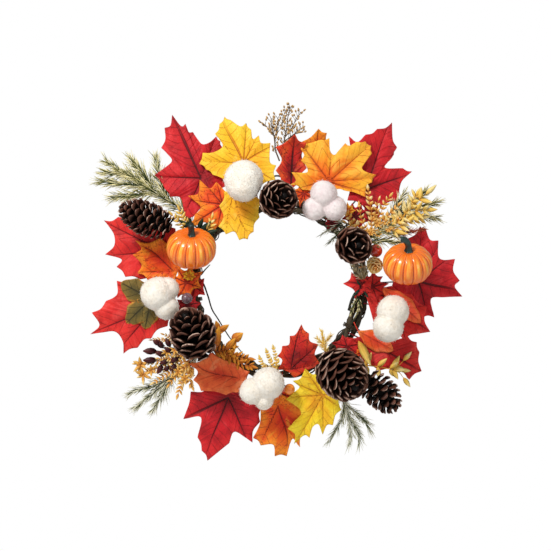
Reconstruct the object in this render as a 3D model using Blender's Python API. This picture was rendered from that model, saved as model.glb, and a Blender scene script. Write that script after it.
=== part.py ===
"""Harvest door wreath: a twisted vine ring dressed with fabric leaves, sprigs, cones, bolls and pumpkins.

Metres. +Z is up, the front of the wreath faces -Y, and the ring lies in the XZ plane. The origin is the
point where the hanging loop rests on a door hook. Places on the wreath are given as a clock angle, in
degrees clockwise from twelve o'clock seen from the front, and a reach, in ring radii from the centre.
"""

import math

import bmesh
import bpy
from mathutils import Matrix, Vector

# ---- Driving dimensions ----
RING_RADIUS = 0.101  # centreline of the vine ring
VINE_RADIUS = 0.0038
VINE_COUNT = 3
VINE_TURNS = 5  # turns that each vine makes about the ring's centreline
VINE_GAP = 0.0012  # between neighbouring vines
LOOSE_VINE_RADIUS = 0.0011
TIE_WIRE_RADIUS = 0.0008
TIE_CLOCKS = (118, 262)  # where binding wire holds the vines together
LEAF_THICKNESS = 0.0007
SPRIG_THICKNESS = 0.0012
LAYER_STEP = 0.0030  # depth from one layer of leaves to the next
STEM_RADIUS = 0.0009  # wire stem of a leaf or a decoration
STEM_CLEAR = 0.0007  # round a stem that pierces a leaf
SEAT_GAP = 0.0003  # between a piece and what it rests on
DECOR_GAP = 0.0006  # between two decorations
LOOP_WIRE_RADIUS = 0.0011
LOOP_HEIGHT = 0.034  # from the pivot to the top of the wire's centreline
LOOP_HALF_WIDTH = 0.011
EYE_CLEAR = 0.00035  # radial clearance of the loop's wire in its eye
EYE_WALL = 0.0009
EYE_LENGTH = 0.009
COLLAR_CLEAR = 0.0004
DOME_OUTER = 1.25  # how fast the layers fall back outside the ring, per metre
DOME_INNER = 2.2
PUMPKIN_RADIUS = 0.0298
PUMPKIN_HEIGHT = 0.042
PUMPKIN_RIBS = 14
CELL = 0.003  # grid on which footprints are compared

# ---- What follows from them ----
VINE_OFFSET = (2 * VINE_RADIUS + VINE_GAP) / (2 * math.sin(math.pi / VINE_COUNT)) * 1.08
BUNDLE_RADIUS = VINE_OFFSET + VINE_RADIUS
TIE_RADIUS = BUNDLE_RADIUS + COLLAR_CLEAR + TIE_WIRE_RADIUS
FIRST_LAYER = TIE_RADIUS + TIE_WIRE_RADIUS + 0.0014
EYE_BORE = LOOP_WIRE_RADIUS + EYE_CLEAR
EYE_Y = TIE_RADIUS + EYE_BORE + EYE_WALL
HOOK = Vector((0, EYE_Y, RING_RADIUS + LOOP_HEIGHT - LOOP_WIRE_RADIUS))

# ---- Finishes: colour, roughness, metallic ----
FINISHES = {
    "vine": ((0.10, 0.075, 0.045), 0.8, 0.0),
    "wire": ((0.35, 0.35, 0.36), 0.35, 1.0),
    "red": ((0.62, 0.03, 0.03), 0.55, 0.0),
    "russet": ((0.55, 0.12, 0.03), 0.6, 0.0),
    "orange": ((0.85, 0.25, 0.03), 0.55, 0.0),
    "yellow": ((0.90, 0.58, 0.05), 0.55, 0.0),
    "olive": ((0.22, 0.20, 0.06), 0.6, 0.0),
    "gold": ((0.80, 0.50, 0.16), 0.6, 0.0),
    "pine": ((0.12, 0.17, 0.08), 0.7, 0.0),
    "burgundy": ((0.16, 0.03, 0.04), 0.6, 0.0),
    "cone": ((0.10, 0.04, 0.025), 0.6, 0.0),
    "cotton": ((0.90, 0.86, 0.80), 0.95, 0.0),
    "pumpkin": ((0.88, 0.26, 0.02), 0.3, 0.0),
    "stem": ((0.02, 0.06, 0.045), 0.5, 0.0),
    "berry": ((0.70, 0.08, 0.02), 0.3, 0.0),
}

LANCE_POINTS = 14  # round the rim of a narrow leaf or a sprig
LEAF_GROWTH = 1.0  # of every broad leaf against the outlines below

# Broad leaves: name, finish, clock and reach of the point where the veins meet, and the outline clockwise
# from the tip, as millimetres right and up from that point. Each lobe has its tip and the notches beside it.
LEAVES = (
    (
        "red_leaf_1", "red", 327, 1.49, (
            (-43, 79), (-36, 67), (-27, 68), (-18, 59), (-6, 44), (9, 54), (16, 41), (19, 13),
            (7, -22), (-13, -28), (-25, -44), (-31, -19), (-50, -17), (-55, -3), (-64, 8),
            (-44, 26), (-56, 40), (-50, 53), (-52, 64),
        ),
    ),
    (
        "red_leaf_3", "red", 42, 1.57, (
            (32, 81), (33, 60), (38, 51), (34, 42), (23, 27), (45, 26), (56, 22), (43, 9),
            (39, -14), (21, -19), (-1, -22), (-22, -13), (-25, 23), (-18, 42), (-20, 64),
            (-10, 57), (0, 66), (14, 73),
        ),
    ),
    (
        "red_leaf_4", "red", 87, 1.67, (
            (3, 65), (10, 61), (15, 49), (25, 48), (25, 30), (31, 25), (45, 26), (43, 12), (51, 0),
            (45, -7), (54, -19), (32, -20), (16, -22), (20, -44), (5, -44), (-16, -33), (-31, -6),
            (-30, 27), (-13, 50),
        ),
    ),
    (
        "red_leaf_8", "red", 204, 1.42, (
            (-25, -76), (-32, -64), (-37, -48), (-33, -24), (-54, -26), (-47, -7), (-45, 7),
            (-22, 12), (1, 16), (25, 7), (42, -10), (38, -29), (29, -54), (8, -41), (1, -55),
            (-9, -63),
        ),
    ),
    (
        "red_leaf_9", "red", 288, 1.42, (
            (-72, 37), (-54, 41), (-27, 36), (-6, 42), (15, 27), (27, 3), (21, -24), (0, -36),
            (-27, -34), (-45, -31), (-56, -19), (-50, -10), (-70, -4), (-59, 6), (-59, 19),
            (-66, 30),
        ),
    ),
    (
        "red_leaf_10", "red", 261, 1.48, (
            (-44, 32), (-24, 34), (-3, 27), (18, 15), (24, -9), (17, -22), (-3, -37), (-11, -38),
            (-19, -48), (-36, -55), (-37, -40), (-46, -29), (-62, -30), (-76, -32), (-65, -21),
            (-74, -6), (-57, 8), (-48, 12), (-43, 18),
        ),
    ),
    (
        "red_leaf_6", "red", 120, 1.48, (
            (27, 17), (38, 10), (41, -2), (40, -13), (44, -25), (29, -35), (19, -23), (7, -21),
            (-7, -24), (-22, -15), (-40, -13), (-48, -3), (-58, 9), (-46, 16), (-28, 18),
            (-10, 13), (13, 13),
        ),
    ),
    (
        "russet_leaf", "russet", 16, 1.64, (
            (4, 31), (14, 26), (15, 13), (12, -1), (0, -15), (-12, -3), (-17, 15), (-6, 21),
        ),
    ),
    (
        "red_leaf_2", "red", 7, 1.34, (
            (5, 49), (10, 41), (19, 39), (13, 24), (19, 9), (10, -9), (1, -19), (-12, -12),
            (-18, 6), (-11, 19), (-18, 34), (-7, 39),
        ),
    ),
    (
        "yellow_leaf_1", "yellow", 345, 1.41, (
            (-24, 67), (-14, 55), (1, 59), (6, 39), (19, 42), (30, 34), (28, 18), (37, 3),
            (36, -12), (21, -18), (3, -27), (-18, -18), (-40, -4), (-55, 10), (-50, 24), (-34, 24),
            (-28, 39), (-32, 54),
        ),
    ),
    (
        "red_leaf_7", "red", 166, 0.87, (
            (8, 42), (17, 31), (18, 22), (28, 18), (24, 6), (31, -6), (15, -13), (0, -22),
            (-9, -14), (-20, -12), (-15, -1), (-21, 4), (-15, 16), (-7, 18), (-6, 28), (1, 30),
        ),
    ),
    (
        "red_leaf_5", "red", 100, 1.44, (
            (40, -27), (27, -29), (16, -31), (9, -37), (-6, -22), (-28, -15), (-33, 3), (-37, 16),
            (-30, 30), (-6, 28), (18, 18), (36, 3), (33, -13),
        ),
    ),
    (
        "orange_leaf_3", "orange", 178, 1.55, (
            (-1, 31), (21, 25), (30, 3), (27, -15), (22, -34), (13, -24), (6, -45), (-8, -45),
            (-10, -31), (-25, -32), (-34, -23), (-26, -6), (-25, 12), (-13, 21),
        ),
    ),
    (
        "orange_leaf_2", "orange", 24, 1.40, (
            (-7, 48), (2, 50), (5, 37), (11, 29), (23, 43), (39, 45), (53, 40), (55, 27), (42, 14),
            (58, 4), (48, -9), (43, -20), (24, -18), (5, -18), (-13, -16), (-29, -10), (-43, -5),
            (-39, 8), (-26, 12), (-30, 23), (-27, 34), (-30, 43), (-18, 45),
        ),
    ),
    (
        "orange_leaf_1", "orange", 327, 1.17, (
            (-28, 30), (-16, 20), (-8, 28), (3, 16), (13, 9), (12, -6), (3, -15), (-3, -24),
            (-11, -32), (-21, -21), (-33, -25), (-40, -22), (-34, -12), (-27, -2), (-42, 11),
            (-30, 14),
        ),
    ),
    (
        "yellow_leaf_2", "yellow", 336, 1.02, (
            (-21, 21), (-7, 27), (12, 25), (24, 10), (21, -10), (14, -27), (7, -36), (-3, -37),
            (-9, -27), (-19, -30), (-28, -21), (-22, -9), (-27, 4),
        ),
    ),
    (
        "yellow_leaf_3", "yellow", 161, 1.39, (
            (-10, 38), (4, 30), (24, 24), (34, 6), (30, -12), (24, -31), (9, -40), (-1, -35),
            (-6, -44), (-24, -51), (-32, -34), (-22, -21), (-18, -13), (-32, 2), (-23, 9),
            (-27, 24), (-16, 27),
        ),
    ),
    (
        "orange_leaf_4", "orange", 213, 1.21, (
            (-39, 13), (-25, 15), (-12, 26), (1, 18), (19, 12), (34, 3), (31, -15), (21, -22),
            (6, -25), (-7, -21), (-24, -20), (-33, -7), (-28, 3),
        ),
    ),
    (
        "orange_leaf_5", "orange", 283, 1.40, (
            (-31, 25), (-16, 22), (-1, 28), (16, 19), (28, -4), (16, -22), (-4, -21), (-16, -23),
            (-29, -14), (-24, -4), (-34, 8), (-24, 15),
        ),
    ),
    (
        "small_red_leaf_1", "red", 271, 0.97, (
            (11, 10), (10, -1), (12, -10), (4, -10), (-7, -18), (-8, -4), (-15, 1), (-7, 7),
            (-7, 14), (2, 8),
        ),
    ),
    (
        "small_red_leaf_2", "red", 87, 1.01, (
            (-23, 0), (-15, 5), (-13, 14), (-4, 7), (12, 9), (10, -5), (13, -11), (3, -10),
            (-9, -19), (-10, -8),
        ),
    ),
)
# Narrow leaves and flat sprigs, back to front: name, finish, clock and reach of the base, heading,
# length, width.
SPRIGS = (
    ("pine_sprig_1", "pine", 309, 1.45, 291, 0.098, 0.054),
    ("pine_sprig_2", "pine", 231, 1.40, 233, 0.080, 0.028),
    ("pine_sprig_3", "pine", 149, 1.56, 182, 0.054, 0.040),
    ("pine_sprig_4", "pine", 60, 1.47, 66, 0.066, 0.030),
    ("twig_spray", "gold", 3, 1.66, 357, 0.050, 0.046),
    ("gold_sprig_3", "gold", 228, 1.20, 251, 0.080, 0.034),
    ("burgundy_sprig", "burgundy", 235, 1.42, 276, 0.044, 0.016),
    ("orange_sprig", "orange", 220, 1.07, 24, 0.045, 0.026),
    ("boxwood_sprig", "gold", 60, 1.33, 341, 0.050, 0.044),
    ("gold_sprig_1", "gold", 65, 1.41, 40, 0.060, 0.026),
    ("gold_sprig_2", "gold", 132, 1.42, 93, 0.050, 0.020),
    ("lance_leaf_1", "red", 90, 1.25, 132, 0.062, 0.020),
    ("lance_leaf_2", "orange", 118, 1.09, 119, 0.048, 0.019),
)
# The three leaves under one boll: heading and length of each.
OLIVE_LEAVES = ((301, 0.040), (224, 0.038), (183, 0.033))
OLIVE_PLACE = (265, 1.49)
# Layers, back to front. A leaf lies in front of every leaf before it that it crosses.
ORDER = (
    "pine_sprig_1", "pine_sprig_2", "pine_sprig_3", "pine_sprig_4", "twig_spray", "gold_sprig_3",
    "red_leaf_1", "red_leaf_3", "red_leaf_4", "red_leaf_8", "red_leaf_9", "red_leaf_10", "red_leaf_6",
    "russet_leaf", "red_leaf_2", "yellow_leaf_1", "red_leaf_7", "burgundy_sprig", "orange_sprig",
    "red_leaf_5", "orange_leaf_3", "orange_leaf_2", "orange_leaf_1", "yellow_leaf_2", "yellow_leaf_3",
    "orange_leaf_4", "orange_leaf_5", "small_red_leaf_1", "small_red_leaf_2", "olive_leaves",
    "boxwood_sprig", "gold_sprig_1", "gold_sprig_2", "lance_leaf_1", "lance_leaf_2",
)

# Cones: name, clock, reach, heading of the tip, lean of the tip towards the front, length, radius.
CONES = (
    ("pinecone_1", 1, 1.04, 60, 62, 0.044, 0.0220),
    ("pinecone_2", 61, 1.03, 85, 66, 0.038, 0.0212),
    ("pinecone_6", 298, 1.76, 293, 12, 0.070, 0.0200),
    ("pinecone_5", 242, 1.12, 338, 40, 0.062, 0.0272),
    ("pinecone_4", 135, 1.74, 135, 14, 0.058, 0.0185),
    ("pinecone_3", 142.5, 1.265, 135, 44, 0.066, 0.0285),
)
# Bolls: name, clock, reach, and the lobes as (right, up, forward, radius) from there.
BOLLS = (
    ("cotton_boll_1", 342.7, 1.317, ((0, 0.0015, 0, 0.0238), (-0.0005, -0.004, 0.002, 0.0215))),
    (
        "cotton_boll_2", 28.3, 1.158,
        ((0, 0.009, 0.003, 0.0165), (-0.011, -0.009, 0, 0.0145), (0.013, -0.008, 0, 0.0150)),
    ),
    ("cotton_boll_3", 105, 1.38, ((0.003, 0.009, 0, 0.0195), (-0.003, -0.010, 0.002, 0.0188))),
    (
        "cotton_boll_4", 188, 1.18,
        ((0.006, 0.005, 0.002, 0.0200), (-0.012, -0.004, 0, 0.0165), (0.001, -0.015, -0.001, 0.0120)),
    ),
    (
        "cotton_boll_5", 266, 1.37,
        ((-0.004, 0.003, 0.002, 0.0205), (0.008, 0.009, -0.001, 0.0145), (0.007, -0.013, 0, 0.0155)),
    ),
)
# Pumpkins: name, clock, reach, roll of the top clockwise, lean of the top towards the front, and the
# stem's height and its bend to the left.
PUMPKINS = (
    ("pumpkin_left", 295, 1.103, 2, 30, 0.015, 0.0015),
    ("pumpkin_right", 79.5, 1.56, 2, 32, 0.023, 0.010),
)
PUMPKIN_STEM_RADIUS = 0.0044
# Berries: name, clock, reach, radius.
BERRIES = (("red_berry", 69.5, 1.245, 0.0074), ("orange_berry", 173, 1.20, 0.0066))
# Loose vine: clock, reach and depth behind the ring's centreline of the points it passes.
LOOSE_VINE = ((281, 0.95, 0.011), (274, 0.87, 0.006), (264, 0.83, -0.004), (253, 0.82, -0.007),
              (241, 0.84, -0.007), (231, 0.855, -0.004), (221, 0.875, 0.004), (212, 0.95, 0.011))

materials = {}
pieces = {}  # name: the layered piece's outline and depth
wires = []  # plan points of every stem laid so far
seats = []  # plan points where stems meet the ring
tracks = []  # ground that the decorations' stems cover, and on which layer
balls = []  # centre and radius of what the decorations fill
frame_root = None


def clear_scene():
    for obj in list(bpy.data.objects):
        bpy.data.objects.remove(obj)


def finish(name):
    if name not in materials:
        colour, roughness, metallic = FINISHES[name]
        material = bpy.data.materials.new(name)
        material.use_nodes = True
        shader = material.node_tree.nodes["Principled BSDF"]
        shader.inputs["Base Color"].default_value = (*colour, 1)
        shader.inputs["Roughness"].default_value = roughness
        shader.inputs["Metallic"].default_value = metallic
        materials[name] = material
    return materials[name]


def add_object(name, mesh, finish_name):
    """A part of the wreath, placed from the ring's centre."""
    mesh.materials.append(finish(finish_name))
    mesh.shade_smooth()
    mesh.set_sharp_from_angle(angle=math.radians(40))
    obj = bpy.data.objects.new(name, mesh)
    bpy.context.scene.collection.objects.link(obj)
    obj.parent = frame_root
    return obj


def helper(name, mesh):
    """A cutter or a joining piece, which isn't a part."""
    obj = bpy.data.objects.new(name, mesh)
    bpy.context.scene.collection.objects.link(obj)
    obj.parent = frame_root
    obj.hide_render = True
    obj.display_type = "WIRE"
    return obj


def boolean(obj, operation, other):
    modifier = obj.modifiers.new(operation.lower(), "BOOLEAN")
    modifier.operation = operation
    modifier.solver = "EXACT"
    modifier.object = other


def plan(clock, reach):
    """The point at a clock angle and a reach, as (x, z) from the ring's centre."""
    angle = math.radians(clock)
    return (math.sin(angle) * reach * RING_RADIUS, math.cos(angle) * reach * RING_RADIUS)


def shell(x, z):
    """Depth of the front of the first layer, which is a dome that is highest over the ring."""
    out = math.hypot(x, z) - RING_RADIUS
    fall = DOME_OUTER * out * out if out > 0 else DOME_INNER * out * out
    return -FIRST_LAYER + fall


def layer_depth(x, z, layer):
    return shell(x, z) - layer * LAYER_STEP


# ---- Meshes ----
def tube(points, radius, sides=6, closed=False, radii=None):
    """A round bar along points, as one closed mesh."""
    curve = bpy.data.curves.new("bar", "CURVE")
    curve.dimensions = "3D"
    curve.bevel_depth = radius
    curve.bevel_resolution = (sides - 4) // 2
    curve.use_fill_caps = not closed
    spline = curve.splines.new("POLY")
    spline.points.add(len(points) - 1)
    for i, (point, place) in enumerate(zip(spline.points, points)):
        point.co = (*place, 1)
        point.radius = radii[i] if radii else 1
    spline.use_cyclic_u = closed
    obj = bpy.data.objects.new("bar", curve)
    bpy.context.scene.collection.objects.link(obj)
    bpy.context.view_layer.update()
    mesh = bpy.data.meshes.new_from_object(obj.evaluated_get(bpy.context.evaluated_depsgraph_get()))
    bpy.data.objects.remove(obj)
    return welded(mesh)


def welded(mesh):
    work = bmesh.new()
    work.from_mesh(mesh)
    bmesh.ops.remove_doubles(work, verts=work.verts, dist=1e-6)
    bmesh.ops.recalc_face_normals(work, faces=work.faces)
    work.to_mesh(mesh)
    work.free()
    return mesh


def turned(profile, sides, shape=lambda angle, radius, height: radius):
    """A closed solid turned about +Z. profile runs from one end on the axis to the other."""
    work = bmesh.new()
    rings = []
    for radius, height in profile[1:-1]:
        ring = []
        for i in range(sides):
            angle = math.tau * i / sides
            r = shape(angle, radius, height)
            ring.append(work.verts.new((r * math.cos(angle), r * math.sin(angle), height)))
        rings.append(ring)
    ends = [work.verts.new((0, 0, profile[k][1])) for k in (0, -1)]
    for i in range(sides):
        j = (i + 1) % sides
        work.faces.new((ends[0], rings[0][i], rings[0][j]))
        work.faces.new((ends[1], rings[-1][j], rings[-1][i]))
        for low, high in zip(rings, rings[1:]):
            work.faces.new((low[i], low[j], high[j], high[i]))
    bmesh.ops.recalc_face_normals(work, faces=work.faces)
    mesh = bpy.data.meshes.new("turned")
    work.to_mesh(mesh)
    work.free()
    return mesh


def plate(centre, rim, layer, thickness):
    """A thin leaf on a layer: a middle point, a ring half way out and the rim, front and back."""
    work = bmesh.new()
    sides = []
    for depth in (0, thickness):
        loops = []
        for share in (0.5, 1.0):
            loop = []
            for x, z in rim:
                px, pz = centre[0] + (x - centre[0]) * share, centre[1] + (z - centre[1]) * share
                loop.append(work.verts.new((px, layer_depth(px, pz, layer) + depth, pz)))
            loops.append(loop)
        middle = work.verts.new((centre[0], layer_depth(*centre, layer) + depth, centre[1]))
        sides.append((middle, loops))
    count = len(rim)
    for i in range(count):
        j = (i + 1) % count
        for middle, (inner, outer) in sides:
            work.faces.new((middle, inner[i], inner[j]))
            work.faces.new((inner[i], outer[i], outer[j], inner[j]))
        work.faces.new((sides[0][1][1][i], sides[1][1][1][i], sides[1][1][1][j], sides[0][1][1][j]))
    bmesh.ops.triangulate(work, faces=work.faces)
    bmesh.ops.recalc_face_normals(work, faces=work.faces)
    mesh = bpy.data.meshes.new("plate")
    work.to_mesh(mesh)
    work.free()
    return mesh


# ---- Outlines in plan ----
def leaf_rim(centre, outline):
    scale = 0.001 * LEAF_GROWTH
    return [(centre[0] + right * scale, centre[1] + up * scale) for right, up in outline]


def lance_rim(base, heading, length, width):
    """Pointed at both ends, widest a little past the middle. Returns its middle and its rim."""
    a = math.radians(heading)
    along, across = Vector((math.sin(a), math.cos(a))), Vector((math.cos(a), -math.sin(a)))
    start = Vector(base)
    rim = []
    for i in range(LANCE_POINTS):
        t = math.tau * i / LANCE_POINTS
        rise = (1 - math.cos(t)) / 2
        side = math.sin(t) * (0.75 + 0.35 * rise) * width / 2
        rim.append(tuple(start + along * rise * length + across * side))
    return tuple(start + along * length * 0.5), rim


def olive_rim(centre):
    rim = []
    for heading, length in OLIVE_LEAVES:
        for turn, reach in ((-38, 0.42), (-19, 0.82), (0, 1.0), (19, 0.82), (38, 0.42)):
            a = math.radians(heading + turn)
            rim.append((centre[0] + math.sin(a) * reach * length, centre[1] + math.cos(a) * reach * length))
    rim.sort(key=lambda p: math.atan2(p[0] - centre[0], p[1] - centre[1]))
    return rim


def inside(point, rim):
    x, z = point
    odd = False
    for (x1, z1), (x2, z2) in zip(rim, rim[1:] + rim[:1]):
        if (z1 > z) != (z2 > z) and x < x1 + (z - z1) / (z2 - z1) * (x2 - x1):
            odd = not odd
    return odd


def cells_of(centre, rim, margin):
    """Grid cells that an outline covers once it has grown by margin."""
    grown = []
    for x, z in rim:
        away = math.hypot(x - centre[0], z - centre[1])
        grow = (away + margin) / away
        grown.append((centre[0] + (x - centre[0]) * grow, centre[1] + (z - centre[1]) * grow))
    xs, zs = [p[0] for p in grown], [p[1] for p in grown]
    columns = range(math.floor(min(xs) / CELL), math.ceil(max(xs) / CELL) + 1)
    rows = range(math.floor(min(zs) / CELL), math.ceil(max(zs) / CELL) + 1)
    return {(i, j) for i in columns for j in rows if inside((i * CELL, j * CELL), grown)}


def path_cells(start, end, reach):
    """Grid cells within reach of a straight line in plan."""
    span = math.dist(start, end)
    found = set()
    ring = math.ceil(reach / CELL)
    for k in range(math.ceil(span / CELL) + 1):
        t = min(1, k * CELL / span) if span else 0
        i = round((start[0] + (end[0] - start[0]) * t) / CELL)
        j = round((start[1] + (end[1] - start[1]) * t) / CELL)
        found |= {(i + a, j + b) for a in range(-ring, ring + 1) for b in range(-ring, ring + 1)}
    return found


def gap_to_line(point, start, end):
    p, a, b = Vector(point), Vector(start), Vector(end)
    span = (b - a).length_squared
    t = max(0, min(1, (p - a).dot(b - a) / span)) if span else 0
    return (p - (a + (b - a) * t)).length


def find_seat(place):
    """Where a stem meets the ring: at the clock angle of place, or as near as the stems already there allow."""
    clock = math.degrees(math.atan2(place[0], place[1]))
    apart = 2 * STEM_RADIUS + 3 * STEM_CLEAR
    for step in range(60):
        turn = (step + 1) // 2 * (1 if step % 2 else -1) * 2.0
        seat = plan(clock + turn, 1)
        tied = any(
            math.dist(seat, plan(tie, 1)) < 2 * TIE_WIRE_RADIUS + apart for tie in (*TIE_CLOCKS, 0)
        )
        crowded = any(math.dist(seat, other) < apart for other in seats)
        crossed = any(gap_to_line(seat, *wire) < apart for wire in wires)
        if not (tied or crowded or crossed):
            return seat
    return plan(clock, 1)


# ---- The ring and its hanger ----
def ring_point(angle, outwards, backwards):
    radius = RING_RADIUS + outwards
    return (math.sin(angle) * radius, backwards, math.cos(angle) * radius)


def make_vines():
    points_per_turn = 8
    count = points_per_turn * VINE_TURNS
    for strand in range(VINE_COUNT):
        points = []
        for i in range(count):
            angle = math.tau * i / count
            twist = angle * VINE_TURNS + math.tau * strand / VINE_COUNT
            points.append(ring_point(angle, VINE_OFFSET * math.cos(twist), VINE_OFFSET * math.sin(twist)))
        add_object(f"vine_{strand + 1}", tube(points, VINE_RADIUS, closed=True), "vine")


def make_loose_vine():
    points = []
    for clock, reach, back in LOOSE_VINE:
        x, z = plan(clock, reach)
        points.append((x, back + math.copysign(0.001, back), z))
    add_object("loose_vine", tube(points, LOOSE_VINE_RADIUS), "vine")


def tie_mesh(clock):
    """Two turns of binding wire, drawn as one closed ring round the vines."""
    angle = math.radians(clock)
    points = []
    for i in range(16):
        t = math.tau * i / 16
        points.append(ring_point(angle, TIE_RADIUS * math.cos(t), TIE_RADIUS * math.sin(t)))
    return tube(points, TIE_WIRE_RADIUS, closed=True)


def make_ties():
    for number, clock in enumerate(TIE_CLOCKS):
        add_object(f"binding_wire_{number + 1}", tie_mesh(clock), "wire")


def make_hanger():
    """The eye is a wire collar round the vines with a tube across its back, and the loop turns in it."""
    eye = add_object("hanger_eye", tie_mesh(0), "wire")
    outer, bore = EYE_BORE + EYE_WALL, EYE_BORE
    place = Matrix.Translation((0, EYE_Y, RING_RADIUS)) @ Matrix.Rotation(math.pi / 2, 4, "Y")
    half = EYE_LENGTH / 2
    barrel = turned(((0, -half), (outer, -half), (outer, half), (0, half)), 12)
    hole = turned(((0, -half * 2), (bore, -half * 2), (bore, half * 2), (0, half * 2)), 12)
    for mesh in (barrel, hole):
        mesh.transform(place)
    boolean(eye, "UNION", helper("eye_barrel", barrel))
    boolean(eye, "DIFFERENCE", helper("eye_hole", hole))
    corner = LOOP_HALF_WIDTH * 0.25
    path = [(0, 0), (LOOP_HALF_WIDTH - corner, 0), (LOOP_HALF_WIDTH, corner)]
    arc_steps = 8
    arc_centre = LOOP_HEIGHT - LOOP_HALF_WIDTH
    for i in range(arc_steps + 1):
        a = math.pi * i / arc_steps
        path.append((LOOP_HALF_WIDTH * math.cos(a), arc_centre + LOOP_HALF_WIDTH * math.sin(a)))
    path += [(-LOOP_HALF_WIDTH, corner), (-(LOOP_HALF_WIDTH - corner), 0)]
    loop = add_object(
        "hanging_loop", tube([(x, 0, z) for x, z in path], LOOP_WIRE_RADIUS, 8, closed=True), "wire"
    )
    loop.location = (0, EYE_Y, RING_RADIUS)


# ---- Leaves and sprigs ----
def lay_stem(name, start, start_depth, layer):
    """The wire stem that runs behind a leaf along its own layer and then back to the ring."""
    seat = find_seat(start)
    front = -(BUNDLE_RADIUS + SEAT_GAP)
    depth = layer_depth(*seat, layer) + start_depth
    span = math.dist(start, seat)
    points = []
    steps = max(1, math.ceil(span / 0.02))
    for k in range(steps):
        t = k / steps
        x, z = start[0] + (seat[0] - start[0]) * t, start[1] + (seat[1] - start[1]) * t
        points.append((x, layer_depth(x, z, layer) + start_depth, z))
    if span < 3 * STEM_RADIUS:
        points = [(seat[0], depth, seat[1])]
    else:
        points.append((seat[0], depth, seat[1]))
    points.append((seat[0], front, seat[1]))
    seats.append(seat)
    wires.append((start, seat))
    return helper(f"{name}_wire", tube(points, STEM_RADIUS)), seat


def pierce(seat, layer):
    """Cuts a hole for a stem in each leaf that it passes through."""
    for name, piece in pieces.items():
        reach = STEM_RADIUS + STEM_CLEAR
        near = [(seat[0] + a * reach, seat[1] + b * reach) for a in (-1, 0, 1) for b in (-1, 0, 1)]
        if piece["layer"] >= layer or not any(inside(p, piece["rim"]) for p in near):
            continue
        tall = 0.02
        hole = turned(((0, -tall), (reach, -tall), (reach, tall), (0, tall)), 8)
        middle = layer_depth(*seat, piece["layer"])
        hole.transform(
            Matrix.Translation((seat[0], middle, seat[1])) @ Matrix.Rotation(math.pi / 2, 4, "X")
        )
        boolean(piece["object"], "DIFFERENCE", helper(f"{name}_hole", hole))


def layer_for(cells):
    under = [piece["layer"] for piece in [*pieces.values(), *tracks] if piece["cells"] & cells]
    return max(under) + 1 if under else 0


def lay_piece(name, finish_name, centre, rim, root, thickness):
    seat = find_seat(root)
    cells = cells_of(centre, rim, 0.0022) | path_cells(root, seat, 0.002)
    layer = layer_for(cells)
    obj = add_object(name, plate(centre, rim, layer, thickness), finish_name)
    wire, seat = lay_stem(name, root, thickness * 0.6, layer)
    boolean(obj, "UNION", wire)
    pierce(seat, layer)
    pieces[name] = {"object": obj, "rim": rim, "cells": cells, "layer": layer}


def make_layers():
    jobs = {}
    for name, finish_name, clock, reach, outline in LEAVES:
        centre = plan(clock, reach)
        jobs[name] = (finish_name, centre, leaf_rim(centre, outline), centre, LEAF_THICKNESS)
    for name, finish_name, clock, reach, heading, length, width in SPRIGS:
        base = plan(clock, reach)
        centre, rim = lance_rim(base, heading, length, width)
        root = tuple(Vector(base).lerp(Vector(centre), 0.3))
        jobs[name] = (finish_name, centre, rim, root, SPRIG_THICKNESS)
    centre = plan(*OLIVE_PLACE)
    jobs["olive_leaves"] = ("olive", centre, olive_rim(centre), centre, LEAF_THICKNESS)
    for name in ORDER:
        lay_piece(name, *jobs[name])


# ---- Decorations ----
def disc_cells(place, radius):
    rim = [
        (place[0] + radius * math.sin(math.tau * i / 12), place[1] + radius * math.cos(math.tau * i / 12))
        for i in range(12)
    ]
    return cells_of(place, rim, 0.001)


def settle(body_balls, place):
    """Moves a decoration, given as balls about its middle, forward until it clears the leaves and the others.

    Returns the depth of its middle and the layer that its stem lies on.
    """
    cells = path_cells(place, find_seat(place), 0.002)
    depth = 0.0
    for right, up, forward, radius in body_balls:
        cells |= disc_cells((place[0] + right, place[1] + up), radius * 0.85)
    layer = layer_for(cells)
    for right, up, forward, radius in body_balls:
        x, z = place[0] + right, place[1] + up
        away = math.hypot(x, z)
        crest = max(0, abs(away - RING_RADIUS) - radius * 0.7)
        nearest = RING_RADIUS + math.copysign(crest, away - RING_RADIUS)
        front = layer_depth(nearest, 0, layer)
        depth = min(depth, front - SEAT_GAP - radius + forward)
    step = 0.0005
    while any(
        (Vector((place[0] + right, depth - forward, place[1] + up)) - centre).length < radius + other + DECOR_GAP
        for right, up, forward, radius in body_balls
        for centre, other in balls
    ):
        depth -= step
    for right, up, forward, radius in body_balls:
        balls.append((Vector((place[0] + right, depth - forward, place[1] + up)), radius))
    return depth, layer


def fix_decoration(obj, name, place, depth, layer):
    """Joins a wire stem to a decoration and pierces the leaves that it passes."""
    seat = find_seat(place)
    track = layer_depth(*place, layer) - STEM_RADIUS
    front = -(BUNDLE_RADIUS + SEAT_GAP)
    points = [(place[0], depth, place[1])]
    span = math.dist(place, seat)
    steps = max(1, math.ceil(span / 0.02))
    if span > 3 * STEM_RADIUS:
        for k in range(steps):
            t = k / steps
            x, z = place[0] + (seat[0] - place[0]) * t, place[1] + (seat[1] - place[1]) * t
            points.append((x, layer_depth(x, z, layer) - STEM_RADIUS, z))
    points.append((seat[0], layer_depth(*seat, layer) - STEM_RADIUS, seat[1]))
    points.append((seat[0], front, seat[1]))
    seats.append(seat)
    wires.append((place, seat))
    tracks.append({"cells": path_cells(place, seat, 0.002), "layer": layer})
    wire = tube(points, STEM_RADIUS)
    wire.transform(Matrix.Translation((-place[0], -depth, -place[1])))
    joined = helper(f"{name}_wire", wire)
    joined.location = (place[0], depth, place[1])
    boolean(obj, "UNION", joined)
    pierce(seat, layer)


def axis_turn(heading, lean):
    """Turns +Z to a heading in the wreath's plane, leaning towards the front."""
    return Matrix.Rotation(math.radians(heading), 4, "Y") @ Matrix.Rotation(math.radians(lean), 4, "X")


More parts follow.
